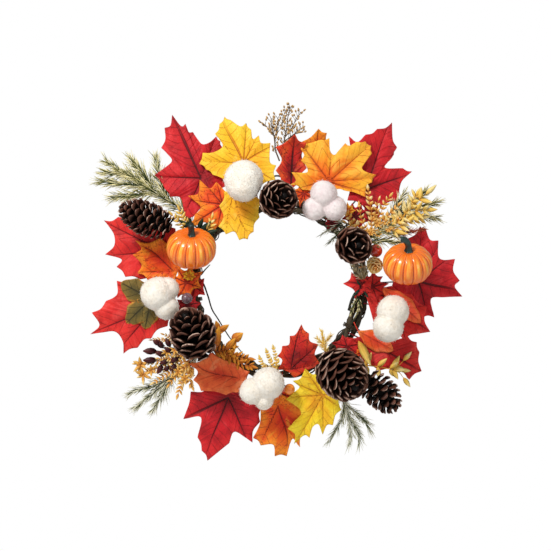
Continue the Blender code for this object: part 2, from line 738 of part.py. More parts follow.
def cone_profile(length, radius):
    """Rows of scales, wide near the base and narrowing to the tip."""
    rows = 6
    points = [(0, -length / 2)]
    for row in range(rows):
        for edge, shrink in ((0.0, 0.80), (0.55, 1.0)):
            t = (row + edge + 0.25) / rows
            swell = math.sin(math.pi * min(1, 0.16 + 0.84 * t) ** 1.0)
            swell = max(swell, 0.0) ** 0.6
            points.append((radius * swell * shrink, -length / 2 + length * t * 0.97))
    points.append((0, length / 2))
    return points


def make_cones():
    for name, clock, reach, heading, lean, length, radius in CONES:
        place = plan(clock, reach)
        turn = axis_turn(heading, lean)
        axis = turn.to_3x3() @ Vector((0, 0, 1))
        body = []
        for share, width in ((-0.24, 0.99), (0.0, 1.0), (0.25, 0.82)):
            at = axis * (length * share)
            body.append((at.x, at.z, -at.y, radius * width))
        depth, layer = settle(body, place)
        mesh = turned(cone_profile(length, radius), 10)
        mesh.transform(turn)
        obj = add_object(name, mesh, "cone")
        obj.location = (place[0], depth, place[1])
        fix_decoration(obj, name, place, depth, layer)


def ball_mesh(radius, place, level=2):
    work = bmesh.new()
    bmesh.ops.create_icosphere(work, subdivisions=level, radius=radius)
    mesh = bpy.data.meshes.new("ball")
    work.to_mesh(mesh)
    work.free()
    mesh.transform(Matrix.Translation(place) @ Matrix.Rotation(0.3, 4, "X"))
    return mesh


def make_bolls():
    for name, clock, reach, lobes in BOLLS:
        place = plan(clock, reach)
        depth, layer = settle(lobes, place)
        (right, up, forward, radius), *others = lobes
        obj = add_object(name, ball_mesh(radius, (right, -forward, up)), "cotton")
        obj.location = (place[0], depth, place[1])
        for number, (right, up, forward, radius) in enumerate(others):
            lobe = helper(f"{name}_lobe_{number}", ball_mesh(radius, (right, -forward, up)))
            lobe.location = obj.location
            boolean(obj, "UNION", lobe)
        fix_decoration(obj, name, place, depth, layer)


def pumpkin_profile():
    """From the bottom to the dimple that the stem stands in."""
    half = PUMPKIN_HEIGHT / 2
    points = [(0, -half * 0.86)]
    steps = 7
    for i in range(steps + 1):
        a = math.radians(-68 + (68 + 74) * i / steps)
        points.append((PUMPKIN_RADIUS * math.cos(a) ** 0.7, half * math.sin(a)))
    dimple = half * 0.80
    points += [(PUMPKIN_STEM_RADIUS * 1.15, dimple), (0, dimple)]
    return points, dimple


def make_pumpkins():
    points, dimple = pumpkin_profile()

    def ribbed(angle, radius, height):
        if radius <= PUMPKIN_STEM_RADIUS * 1.2:
            return radius
        return radius * (1 - 0.07 * (1 - abs(math.sin(angle * PUMPKIN_RIBS / 2))) ** 2)

    for name, clock, reach, roll, lean, stem_height, stem_bend in PUMPKINS:
        place = plan(clock, reach)
        depth, layer = settle(((0, 0, 0, PUMPKIN_RADIUS),), place)
        turn = axis_turn(roll, lean)
        mesh = turned(points, PUMPKIN_RIBS * 3, ribbed)
        mesh.transform(turn)
        obj = add_object(name, mesh, "pumpkin")
        obj.location = (place[0], depth, place[1])
        fix_decoration(obj, name, place, depth, layer)
        foot = dimple + SEAT_GAP
        path, radii = [], []
        for i, (share, wide) in enumerate(((0, 1.0), (0.15, 0.72), (0.5, 0.55), (0.8, 0.52), (1, 0.62))):
            path.append((-stem_bend * max(0, share - 0.15) ** 1.5, 0, foot + stem_height * share))
            radii.append(wide)
        stem = tube(path, PUMPKIN_STEM_RADIUS, 8, radii=radii)
        stem.transform(turn)
        stalk = add_object(f"{name}_stem", stem, "stem")
        stalk.location = obj.location


def make_berries():
    for name, clock, reach, radius in BERRIES:
        place = plan(clock, reach)
        depth, layer = settle(((0, 0, 0, radius),), place)
        obj = add_object(name, ball_mesh(radius, (0, 0, 0)), "berry")
        obj.location = (place[0], depth, place[1])
        fix_decoration(obj, name, place, depth, layer)


clear_scene()
frame_root = bpy.data.objects.new("ring_centre", None)
bpy.context.scene.collection.objects.link(frame_root)
frame_root.location = -HOOK
make_vines()
make_loose_vine()
make_ties()
make_hanger()
make_layers()
make_cones()
make_bolls()
make_pumpkins()
make_berries()
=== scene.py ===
import math
import random

import bpy
import numpy as np
from mathutils import Matrix, Vector, noise


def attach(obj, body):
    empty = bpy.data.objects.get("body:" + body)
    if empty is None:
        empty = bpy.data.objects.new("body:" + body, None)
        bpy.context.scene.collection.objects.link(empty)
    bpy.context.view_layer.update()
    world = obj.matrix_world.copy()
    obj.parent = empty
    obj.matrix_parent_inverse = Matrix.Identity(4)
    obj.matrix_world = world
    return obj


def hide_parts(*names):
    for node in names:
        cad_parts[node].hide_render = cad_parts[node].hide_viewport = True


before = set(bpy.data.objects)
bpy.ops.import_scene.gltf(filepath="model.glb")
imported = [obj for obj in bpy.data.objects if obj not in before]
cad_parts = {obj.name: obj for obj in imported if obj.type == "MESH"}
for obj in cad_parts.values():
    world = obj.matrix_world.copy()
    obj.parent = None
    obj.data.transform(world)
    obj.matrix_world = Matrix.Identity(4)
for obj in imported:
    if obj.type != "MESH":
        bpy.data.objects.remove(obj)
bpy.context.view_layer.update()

bpy.ops.object.select_all(action="DESELECT")

MM = 0.001

# ---- The wreath's own places, in metres. The ring lies in a plane across Y, and its front faces -Y. ----
RING = Vector((0, -0.012837, -0.1339))  # its centre
CENTRE = np.array(RING)
RING_RADIUS = 0.101
VINE_RADIUS = 0.0038
VINE_OFFSET = 0.005487
VINE_TURNS = 5
TIE_RADIUS = 0.010487
FIRST_LAYER = 0.012687
LAYER_STEP = 0.003
DOME_OUTER, DOME_INNER = 1.25, 2.2
LEAF_THICKNESS = 0.0005
STEM_RADIUS = 0.0008


def plan(clock, reach):
    """(x, z) from the ring's centre, at degrees clockwise from the top and a reach in ring radii."""
    angle = math.radians(clock)
    return math.sin(angle) * reach * RING_RADIUS, math.cos(angle) * reach * RING_RADIUS


def depth(x, z, layer):
    """The front of a layer of leaves, which domes back away from the ring."""
    out = np.hypot(x, z) - RING_RADIUS
    return -FIRST_LAYER + np.where(out > 0, DOME_OUTER, DOME_INNER) * out * out - layer * LAYER_STEP


# ---- Materials ----
class Value:
    """A socket that takes part in sums."""

    def __init__(self, maker, socket):
        self.maker, self.socket = maker, socket

    def sum(self, operation, *others, clamp=False):
        values = [other.socket if isinstance(other, Value) else other for other in (self, *others)]
        node = self.maker.node("Math", {"operation": operation, "use_clamp": clamp}, dict(enumerate(values)))
        return Value(self.maker, node.outputs[0])

    def __add__(self, other):
        return self.sum("ADD", other)

    def __sub__(self, other):
        return self.sum("SUBTRACT", other)

    def __rsub__(self, other):
        return (self * -1) + other

    def __mul__(self, other):
        return self.sum("MULTIPLY", other)

    def __truediv__(self, other):
        return self.sum("DIVIDE", other)

    __radd__, __rmul__ = __add__, __mul__

    def step(self, low, high, start=0.0, end=1.0):
        """Eases from start at low to end at high."""
        node = self.maker.node(
            "MapRange", {"interpolation_type": "SMOOTHSTEP"},
            {0: self.socket, 1: low, 2: high, 3: start, 4: end}
        )
        return Value(self.maker, node.outputs[0])


class Finish:
    """One material, built node by node."""

    def __init__(self, name, **constants):
        self.material = bpy.data.materials.new(name)
        self.material.use_nodes = True
        self.tree = self.material.node_tree
        self.shader = self.tree.nodes["Principled BSDF"]
        for socket, value in constants.items():
            self.shader.inputs[socket.replace("_", " ")].default_value = value

    def node(self, kind, settings=None, sockets=None):
        node = self.tree.nodes.new("ShaderNode" + kind)
        for key, value in (settings or {}).items():
            if key == "stops":
                ramp = node.color_ramp.elements
                while len(ramp) < len(value):
                    ramp.new(0.5)
                for element, (place, colour) in zip(ramp, value):
                    element.position = place
                    element.color = (*colour, 1)
            else:
                setattr(node, key, value)
        for key, value in (sockets or {}).items():
            socket, value = node.inputs[key], value.socket if isinstance(value, Value) else value
            if isinstance(value, bpy.types.NodeSocket):
                self.tree.links.new(value, socket)
            else:
                socket.default_value = (*value, 1) if socket.type == "RGBA" else value
        return node

    def value(self, kind, settings=None, sockets=None, output=0):
        return Value(self, self.node(kind, settings, sockets).outputs[output])

    def place(self, stretch=(1, 1, 1)):
        here = self.value("TexCoord", output="Object")
        return self.value("Mapping", {}, {"Vector": here, "Scale": stretch})

    def combine(self, x, y, z=0.0):
        return self.value("CombineXYZ", {}, {0: x, 1: y, 2: z})

    def noise_on(self, vector, scale, detail, rough, warp=0.0):
        named = {"Scale": scale, "Detail": detail, "Roughness": rough, "Distortion": warp}
        return self.value("TexNoise", {}, {"Vector": vector, **named})

    def noise(self, scale, detail=3.0, rough=0.55, stretch=(1, 1, 1), warp=0.0):
        return self.noise_on(self.place(stretch), scale, detail, rough, warp)

    def cells(self, scale):
        return self.value(
            "TexVoronoi", {"feature": "DISTANCE_TO_EDGE"}, {"Vector": self.place(), "Scale": scale}
        )

    def attribute(self, name):
        """The three numbers that a piece's points carry."""
        split = self.node(
            "SeparateXYZ", {}, {0: self.value("Attribute", {"attribute_name": name}, output="Vector")},
        )
        return [Value(self, output) for output in split.outputs]

    def mix(self, mask, first, second):
        return self.value("Mix", {"data_type": "RGBA"}, {"Factor": mask, 6: first, 7: second}, output=2)

    def ramp(self, factor, *stops):
        return self.value("ValToRGB", {"stops": stops}, {0: factor})

    def use(self, **sockets):
        for socket, value in sockets.items():
            self.tree.links.new(value.socket, self.shader.inputs[socket.replace("_", " ")])

    def bump(self, height, distance, strength=1.0):
        node = self.node("Bump", {}, {"Height": height, "Distance": distance, "Strength": strength})
        self.tree.links.new(node.outputs[0], self.shader.inputs["Normal"])


# Each leaf finish's light colour is a painted highlight, laid on the raised folds of the crease noise.
def leaf_finish(
    name, blade, deep, edge, vein, light=None, speck=None, edge_from=0.62, deep_to=0.55, mottle=0.5,
    veins=0.85,
    lines=0.35, gloss=0.0,
):
    """Printed leaf cloth. Its points carry the distances from and along a main vein, and towards the rim."""
    f = Finish(name, Specular_IOR_Level=0.22 + gloss, Sheen_Weight=0.05)
    across, along, rim = f.attribute("leaf")
    wander = f.noise(60, 4)
    broad = f.noise(20, 2)
    crease = f.noise(34, 3, warp=1.2)
    colour = f.mix(rim.step(deep_to, 0.05) * broad.step(0.3, 0.6, 0.35, 1.0), blade, deep)
    colour = f.mix((rim + (broad - 0.5) * 0.5).step(edge_from, 1.0) * 0.9, colour, edge)
    colour = f.mix(wander.step(0.42, 0.68) * mottle, colour, deep)
    # Painted highlight: the light colour lightens the folds where the crease noise is high.
    colour = f.mix(crease.step(0.54, 0.66) * across.step(1.5, 5.0) * 0.55, colour, light or edge)
    main = (across + (wander - 0.5) * 0.7 + (1 - rim) * -0.25).step(0.75, 0.2)
    main = main * rim.step(1.0, 0.55, 0.45, 1.0)
    halo = across.step(3.2, 0.6) * rim.step(0.95, 0.3, 0.2, 0.8)
    slope = (along - across * 1.05 + (broad - 0.5) * 9.0 + (wander - 0.5) * 2.5) / 10.5
    branch = (slope.sum("FRACT") - 0.5).sum("ABSOLUTE").step(0.05, 0.015)
    branch = branch * across.step(24, 9, 0.0, 1.0) * wander.step(0.32, 0.5, 0.25, 1.0)
    net = f.cells(300).step(0.08, 0.01)
    colour = f.mix(halo * 0.30, colour, deep)
    colour = f.mix(main.sum("MAXIMUM", branch * lines) * veins, colour, vein)
    colour = f.mix(net * 0.10, colour, vein)
    if speck:
        spots = f.noise(420, 2).step(0.58, 0.66) * f.noise(45, 2).step(0.42, 0.56)
        colour = f.mix(spots * 0.85, colour, speck)
    weave = f.noise(1500, 2)
    f.use(Base_Color=colour, Roughness=weave * 0.15 + (0.50 - gloss))
    lines_sunk = main * -1.6 + branch * -0.9 + net * -0.15
    f.bump(lines_sunk + crease * 1.6 + weave * 0.12 + wander * 0.9, 0.0008, 0.9)
    return f.material


def foliage_finish(name, root, middle, tip, rough=0.5, frost=None, frosted=0.5, clear=0.2):
    """Needles, small leaves and buds. Their points carry the share along each one and a number of its own."""
    f = Finish(name, Specular_IOR_Level=clear)
    along, own, across = f.attribute("sprig")
    colour = f.ramp(along, (0.0, root), (0.40, middle), (0.92, tip))
    colour = f.mix(own.step(0.55, 0.9) * 0.6, colour, middle)
    if frost:
        powder = (along + own - frosted).step(0.35, 0.75)
        colour = f.mix(powder, colour, frost)
    grain = f.noise(900, 3)
    colour = f.mix(across.step(0.25, 0.0) * 0.5, colour, root)
    colour = f.mix(grain.step(0.5, 0.75) * 0.25, colour, root)
    f.use(Base_Color=colour, Roughness=grain * 0.25 + (rough - 0.1))
    f.bump(grain, 0.0003, 0.6)
    return f.material


def bark_finish(name="grapevine bark", dark=(0.022, 0.016, 0.010), light=(0.16, 0.115, 0.065)):
    f = Finish(name, Specular_IOR_Level=0.2)
    round_it, along, own = f.attribute("bark")
    streak = f.noise_on(f.combine(round_it * 9.0, along * 60.0, own * 7.0), 1.6, 6.0, 0.65)
    patch = f.noise(35, 3)
    flake = streak.step(0.35, 0.7)
    colour = f.mix(flake, dark, light)
    colour = f.mix(patch.step(0.45, 0.7) * 0.6, colour, (0.055, 0.060, 0.028))
    f.use(Base_Color=colour, Roughness=flake * 0.25 + 0.6)
    f.bump(streak * 1.0 + patch * 0.5, 0.0009, 1.0)
    return f.material


def cone_finish():
    f = Finish("cone scales", Specular_IOR_Level=0.14, Coat_Roughness=0.3)
    along, own, top = f.attribute("scale")
    grain = f.noise(500, 4, 0.6, (1, 1, 0.4))
    patch = f.noise(60, 2)
    # Near-black towards each scale's root: painted shade in the gaps between the scales. The brown at the end
    # is the scale's own colour.
    colour = f.ramp(
        along, (0.0, (0.002, 0.001, 0.0008)), (0.66, (0.004, 0.0016, 0.001)), (0.86, (0.019, 0.0065, 0.004)),
        (0.98, (0.085, 0.029, 0.017)),
    )
    colour = f.mix(grain.step(0.45, 0.8) * 0.4, colour, (0.010, 0.004, 0.003))
    colour = f.mix(patch.step(0.5, 0.66) * along.step(0.72, 0.9) * 0.7, colour, (0.17, 0.060, 0.036))
    # The scale's pale lip, partly its own worn edge and partly a painted highlight, only on the upper side of
    # its end.
    pale_lip_and_highlight = along.step(0.90, 0.965) * top.step(0.10, 0.6) * (grain * 0.35 + patch * 0.65).step(0.40, 0.54)
    colour = f.mix(pale_lip_and_highlight * (own * 0.9 + 0.1), colour, f.mix(own, (0.34, 0.155, 0.095), (0.90, 0.65, 0.51)))
    f.use(Base_Color=colour, Roughness=grain * 0.35 + 0.35, Coat_Weight=own * 0.10)
    f.bump(grain, 0.0005, 0.7)
    return f.material


def cotton_finish(name, light, shade):
    f = Finish(name, Roughness=0.95, Specular_IOR_Level=0.05, Sheen_Weight=0.35, Sheen_Roughness=0.6)
    clumps = f.noise(90, 4)
    fluff = f.noise(420, 5, 0.7, warp=0.6)
    colour = f.mix(clumps.step(0.3, 0.72), shade, light)
    colour = f.mix(fluff.step(0.35, 0.7) * 0.4, colour, (0.93, 0.91, 0.88))
    f.use(Base_Color=colour)
    f.bump(clumps * 0.6 + fluff, 0.0016, 0.75)
    return f.material


def pumpkin_finish():
    f = Finish("pumpkin lacquer", Specular_IOR_Level=0.42, Coat_Roughness=0.14)
    rib, height, _ = f.attribute("rind")
    patch = f.noise(40, 3)
    brush_and_sheen = f.noise_on(f.combine(rib * 22.0, height * 3.0), 1.4, 4.0, 0.6)
    crest = (rib.sum("FRACT") - 0.5).sum("ABSOLUTE")
    colour = f.mix(patch, (0.86, 0.115, 0.003), (0.94, 0.20, 0.006))
    # Painted shade: dark lines in the grooves between the ribs.
    colour = f.mix(crest.step(0.41, 0.5) * 0.8, colour, (0.46, 0.030, 0.003))
    # Painted highlight: pale streaks beside the grooves on the upper part, broken up by the brushed noise.
    upper = height.step(0.22, 0.48) * height.step(0.97, 0.84)
    streak = crest.step(0.26, 0.34) * crest.step(0.44, 0.39) * brush_and_sheen.step(0.34, 0.58) * upper
    colour = f.mix(streak * 0.45, colour, (1.0, 0.50, 0.10))
    # Painted highlight: a broad yellow glow down the middle of each rib.
    glow = crest.step(0.26, 0.06) * brush_and_sheen.step(0.36, 0.58) * height.step(0.38, 0.58) * height.step(0.88, 0.70)
    colour = f.mix(glow * 0.9, colour, (1.0, 0.62, 0.085))
    # Painted shade: darker towards the bottom, where the pumpkin turns away from the light.
    colour = f.mix(height.step(0.32, 0.05) * 0.6, colour, (0.72, 0.062, 0.005))
    f.use(Base_Color=colour, Roughness=patch * 0.12 + 0.22, Coat_Weight=patch * 0.3 + 0.25)
    f.bump(brush_and_sheen * 0.5 + patch, 0.0004, 0.5)
    return f.material


def stalk_finish():
    f = Finish("pumpkin stalk", Specular_IOR_Level=0.5)
    groove = f.noise(220, 4, 0.6, (1, 1, 0.25))
    colour = f.mix(groove.step(0.35, 0.7), (0.003, 0.010, 0.009), (0.012, 0.050, 0.042))
    f.use(Base_Color=colour, Roughness=groove * 0.3 + 0.25)
    f.bump(groove, 0.0006, 0.8)
    return f.material


def berry_finish(name, skin, blush):
    f = Finish(name, Specular_IOR_Level=0.6, Coat_Roughness=0.1)
    patch = f.noise(160, 3)
    dots = f.noise(1300, 2).step(0.62, 0.72)
    colour = f.mix(patch.step(0.35, 0.65), skin, blush)
    colour = f.mix(dots * 0.5, colour, (0.9, 0.45, 0.12))
    f.use(Base_Color=colour, Roughness=patch * 0.15 + 0.18, Coat_Weight=patch * 0.4 + 0.3)
    f.bump(patch, 0.0003, 0.5)
    return f.material


def paper_finish():
    f = Finish("paper-covered wire", Specular_IOR_Level=0.2)
    grain = f.noise(700, 3, 0.6, (1, 0.3, 1))
    colour = f.mix(grain, (0.020, 0.014, 0.008), (0.085, 0.060, 0.036))
    f.use(Base_Color=colour, Roughness=grain * 0.3 + 0.5)
    f.bump(grain, 0.0002, 0.5)
    return f.material


def wire_finish():
    f = Finish("florist's wire", Specular_IOR_Level=0.5)
    grain = f.noise(700, 3, 0.6, (1, 0.3, 1))
    colour = f.mix(grain, (0.20, 0.20, 0.21), (0.42, 0.42, 0.43))
    f.use(Base_Color=colour, Roughness=grain * 0.25 + 0.25, Metallic=grain * 0.1 + 0.9)
    f.bump(grain, 0.0002, 0.4)
    return f.material


LOOKS = {
    "paper": paper_finish(),
    "dusty berry": berry_finish("dusty berry", (0.11, 0.055, 0.075), (0.20, 0.13, 0.16)),
    "dark green": foliage_finish(
        "dark leaves", (0.004, 0.010, 0.006), (0.010, 0.026, 0.015), (0.030, 0.055, 0.024), 0.4,
    ),
    "dry": foliage_finish("dry stems", (0.16, 0.11, 0.05), (0.62, 0.50, 0.28), (0.88, 0.80, 0.58), 0.6),
    "rust needles": foliage_finish(
        "rust needles", (0.10, 0.020, 0.010), (0.34, 0.060, 0.030), (0.62, 0.20, 0.08), 0.6,
    ),
    # In the leaf finishes below, light is the colour of a painted highlight on the folds.
    "crimson": leaf_finish(
        "crimson leaf", (0.56, 0.009, 0.016), (0.24, 0.003, 0.008), (0.64, 0.018, 0.020),
        (0.05, 0.001, 0.003),
        light=(0.74, 0.045, 0.050), mottle=0.65,
    ),
    "scarlet": leaf_finish(
        "scarlet leaf", (0.68, 0.020, 0.018), (0.34, 0.005, 0.007), (0.74, 0.035, 0.026),
        (0.12, 0.002, 0.004),
        light=(0.84, 0.080, 0.065), mottle=0.6,
    ),
    "ruby": leaf_finish(
        "ruby leaf", (0.48, 0.010, 0.014), (0.22, 0.004, 0.008), (0.54, 0.018, 0.018), (0.05, 0.001, 0.003),
        light=(0.64, 0.035, 0.035),
    ),
    "speckled red": leaf_finish(
        "speckled red leaf", (0.58, 0.016, 0.010), (0.20, 0.003, 0.005), (0.76, 0.06, 0.014),
        (0.020, 0.001, 0.002),
        light=(0.84, 0.13, 0.020), speck=(0.10, 0.003, 0.003), edge_from=0.58, deep_to=0.7, mottle=0.6,
        lines=0.7,
    ),
    "golden": leaf_finish(
        "golden leaf", (0.93, 0.52, 0.018), (0.90, 0.36, 0.014), (0.95, 0.60, 0.040), (0.52, 0.09, 0.006),
        light=(0.98, 0.68, 0.10), mottle=0.5, deep_to=0.6, lines=0.5, veins=0.65,
    ),
    "lemon": leaf_finish(
        "lemon leaf", (0.90, 0.60, 0.016), (0.86, 0.34, 0.014), (0.86, 0.66, 0.030), (0.60, 0.12, 0.008),
        light=(0.98, 0.74, 0.05), mottle=0.5, deep_to=0.5, lines=0.5, veins=0.55,
    ),
    "amber": leaf_finish(
        "amber leaf", (0.93, 0.32, 0.012), (0.82, 0.12, 0.008), (0.96, 0.52, 0.04), (0.42, 0.030, 0.006),
        light=(0.98, 0.50, 0.06), mottle=0.55, deep_to=0.7, edge_from=0.45, lines=0.5, veins=0.6,
    ),
    "flame": leaf_finish(
        "flame leaf", (0.90, 0.135, 0.008), (0.68, 0.026, 0.008), (0.94, 0.30, 0.02), (0.20, 0.010, 0.006),
        light=(0.96, 0.38, 0.03), speck=(0.34, 0.014, 0.008), edge_from=0.5, deep_to=0.75, mottle=0.75,
        lines=0.6, veins=0.75,
    ),
    "coral": leaf_finish(
        "coral leaf", (0.82, 0.120, 0.030), (0.58, 0.040, 0.012), (0.84, 0.19, 0.05), (0.20, 0.010, 0.006),
        light=(0.94, 0.30, 0.12), mottle=0.7, veins=0.55,
    ),
    "russet": leaf_finish(
        "russet leaf", (0.80, 0.17, 0.012), (0.52, 0.045, 0.008), (0.90, 0.32, 0.02), (0.14, 0.006, 0.004),
        light=(0.94, 0.42, 0.03), speck=(0.34, 0.014, 0.006),
    ),
    "olive": leaf_finish(
        "olive leaf", (0.190, 0.125, 0.024), (0.075, 0.060, 0.016), (0.62, 0.24, 0.030),
        (0.035, 0.028, 0.008),
        light=(0.30, 0.22, 0.06), edge_from=0.84, mottle=0.5, lines=0.8,
    ),
    "glossy scarlet": leaf_finish(
        "glossy scarlet leaf", (0.84, 0.070, 0.014), (0.68, 0.035, 0.012), (0.90, 0.16, 0.03),
        (0.40, 0.016, 0.006),
        light=(0.94, 0.16, 0.06), mottle=0.25, veins=0.5, lines=0.15, gloss=0.15,
    ),
    "glossy orange": leaf_finish(
        "glossy orange leaf", (0.88, 0.095, 0.014), (0.76, 0.045, 0.012), (0.94, 0.26, 0.05),
        (0.50, 0.03, 0.008),
        light=(0.95, 0.22, 0.08), mottle=0.25, veins=0.5, lines=0.15, gloss=0.15,
    ),
    "pine": foliage_finish(
        "pine needles", (0.014, 0.028, 0.008), (0.075, 0.095, 0.022), (0.52, 0.46, 0.13), 0.65,
        (0.95, 0.86, 0.50), 0.6
    ),
    "frosted pine": foliage_finish(
        "frosted pine needles", (0.014, 0.026, 0.009), (0.070, 0.095, 0.034), (0.60, 0.56, 0.30), 0.7,
        (0.98, 0.95, 0.76), 0.5,
    ),
    "pale pine": foliage_finish(
        "pale pine needles", (0.030, 0.045, 0.020), (0.22, 0.26, 0.12), (0.78, 0.78, 0.50), 0.7,
        (0.98, 0.96, 0.80), 0.4
    ),
    "gold": foliage_finish(
        "gold leaflets", (0.50, 0.15, 0.022), (0.86, 0.44, 0.080), (0.93, 0.62, 0.20), 0.5,
        (0.96, 0.76, 0.36), 0.7
    ),
    "pale gold": foliage_finish(
        "pale gold leaflets", (0.68, 0.32, 0.040), (0.88, 0.58, 0.11), (0.92, 0.68, 0.20), 0.5,
        (0.95, 0.78, 0.34), 0.7
    ),
    "rust": foliage_finish(
        "rust leaflets", (0.26, 0.05, 0.010), (0.62, 0.19, 0.018), (0.86, 0.40, 0.04), 0.5,
    ),
    "twig": foliage_finish("twigs", (0.105, 0.066, 0.036), (0.36, 0.21, 0.085), (0.74, 0.46, 0.17), 0.65),
    "burgundy": foliage_finish(
        "burgundy buds", (0.010, 0.002, 0.003), (0.036, 0.004, 0.006), (0.11, 0.018, 0.016), 0.4,
    ),
    "bark": bark_finish(),
    "tendril": bark_finish("tendril bark", (0.010, 0.011, 0.008), (0.060, 0.055, 0.034)),
    "cone": cone_finish(),
    "cream": cotton_finish("cream cotton", (0.97, 0.92, 0.82), (0.88, 0.78, 0.64)),
    "blush": cotton_finish("blush cotton", (0.94, 0.84, 0.82), (0.82, 0.67, 0.67)),
    "pumpkin": pumpkin_finish(),
    "stalk": stalk_finish(),
    "red berry": berry_finish("red berry skin", (0.42, 0.012, 0.010), (0.70, 0.05, 0.02)),
    "orange berry": berry_finish("orange berry skin", (0.80, 0.16, 0.012), (0.90, 0.30, 0.03)),
    "wire": wire_finish(),
}


# ---- Making a piece ----
def settle(obj, look, slot, *nodes, body="wreath"):
    """Gives a finished piece its material and its body, and hides the nodes that it stands for."""
    obj.data.materials.clear()
    obj.data.materials.append(LOOKS[look])
    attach(obj, body)
    if nodes:
        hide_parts(*nodes)
    return obj


def mesh_piece(name, points, faces, smooth=True, **carried):
    """A piece from arrays of points and faces. carried holds numbers for each point, three at a time."""
    mesh = bpy.data.meshes.new(name)
    mesh.from_pydata([tuple(p) for p in points], [], [tuple(int(i) for i in f) for f in faces])
    for key, values in carried.items():
        layer = mesh.attributes.new(key, "FLOAT_VECTOR", "POINT")
        layer.data.foreach_set("vector", np.asarray(values, np.float32).ravel())
    mesh.polygons.foreach_set("use_smooth", np.full(len(mesh.polygons), smooth))
    mesh.update()
    obj = bpy.data.objects.new(name, mesh)
    bpy.context.scene.collection.objects.link(obj)
    return obj


def active(obj):
    bpy.ops.object.select_all(action="DESELECT")
    obj.select_set(True)
    bpy.context.view_layer.objects.active = obj


def apply(obj, kind, **settings):
    active(obj)
    modifier = obj.modifiers.new(kind.lower(), kind)
    for key, value in settings.items():
        setattr(modifier, key, value)
    bpy.ops.object.modifier_apply(modifier=modifier.name)


def bands(rows, sides, first=0, closed=False):
    """Quads between rows of points that each go round once."""
    faces = []
    for k in range(rows if closed else rows - 1):
        below, above = first + k * sides, first + (k + 1) % rows * sides
        for i in range(sides):
            j = (i + 1) % sides
            faces.append((below + i, below + j, above + j, above + i))
    return faces


def fan(middle, row, sides, back=False):
    """Triangles between a point and a row that goes round it."""
    faces = [(middle, row + i, row + (i + 1) % sides) for i in range(sides)]
    return [(m, b, a) for m, a, b in faces] if back else faces


def turned(rows, sides):
    """Faces of a closed round form: a pole, rows - 1 rows of points and a pole."""
    last = 1 + (rows - 1) * sides
    return fan(0, 1, sides, back=True) + bands(rows - 1, sides, first=1) + fan(last, last - sides, sides)


class Bunch:
    """Gathers many small shapes into one mesh."""

    def __init__(self):
        self.points, self.faces, self.carried, self.count = [], [], [], 0

    def add(self, points, faces, carried):
        self.points.append(np.asarray(points, float))
        self.faces.extend([tuple(i + self.count for i in face) for face in faces])
        self.carried.append(np.asarray(carried, float))
        self.count += len(points)

    def piece(self, name, attribute, smooth=True):
        return mesh_piece(
            name, np.concatenate(self.points), self.faces, smooth, **{attribute: np.concatenate(self.carried)}
        )


def frame_along(direction):
    """Two vectors across a direction."""
    direction = direction / (np.linalg.norm(direction) + 1e-12)
    helper = np.array((0.0, 1.0, 0.0)) if abs(direction[1]) < 0.9 else np.array((1.0, 0.0, 0.0))
    side = np.cross(direction, helper)
    side /= np.linalg.norm(side)
    return side, np.cross(side, direction)


def tube_shape(path, radii, sides, closed=False, carry=None, rough=0.0, seed=0):
    """Points and faces of a round stem along a path. carry gives the three numbers at a share along it."""
    path = np.asarray(path, float)
    count = len(path)
    radii = np.broadcast_to(np.asarray(radii, float), (count,))
    side, up = frame_along(path[1] - path[0])
    points, carried = [], []
    for k in range(count):
        ahead = path[(k + 1) % count] if closed or k < count - 1 else path[k]
        behind = path[k - 1] if closed or k else path[k]
        way = ahead - behind
        way = way / (np.linalg.norm(way) + 1e-12)
        side = side - way * np.dot(side, way)
        side /= np.linalg.norm(side)
        up = np.cross(way, side)
        for i in range(sides):
            a = math.tau * i / sides
            r = radii[k]
            if rough:
                r *= 1 + rough * noise.noise((math.cos(a) * 1.5 + seed * 9, math.sin(a) * 1.5, k * 0.22))
            points.append(path[k] + (side * math.cos(a) + up * math.sin(a)) * r)
            carried.append(carry(i / sides, k / count) if carry else (k / count, 0.5, 1.0))
    faces = bands(count, sides, closed=closed)
    if not closed:
        for k in (0, count - 1):
            points.append(path[k])
            carried.append(carry(0, k / count) if carry else (k / count, 0.5, 1.0))
        faces += fan(len(points) - 2, 0, sides, back=True)
        faces += fan(len(points) - 1, (count - 1) * sides, sides)
    return points, faces, carried


WIRE_STEP = 0.008
WIRE_RISE = 0.0012  # how far a wire's start stands in front of the plane behind the leaves
WIRE_END = -0.0070  # how far forward of the ring's centre a wire goes in between the vines


def wire_path(start, seat_clock, layer, lift=0.0):
    """The way of a stem: back through the leaves behind its own layer, along behind them and to the vines."""
    seat = plan(seat_clock, 1)
    steps = max(2, int(math.dist(start, seat) / WIRE_STEP))
    path = [(start[0], float(depth(*start, layer)) + lift, start[1])]
    for k in range(steps + 1):
        t = k / steps
        x, z = start[0] + (seat[0] - start[0]) * t, start[1] + (seat[1] - start[1]) * t
        path.append((x, float(depth(x, z, -1)) - WIRE_RISE * (1 - t), z))
    path.append((seat[0], WIRE_END, seat[1]))
    return [Vector(p) + RING for p in path]


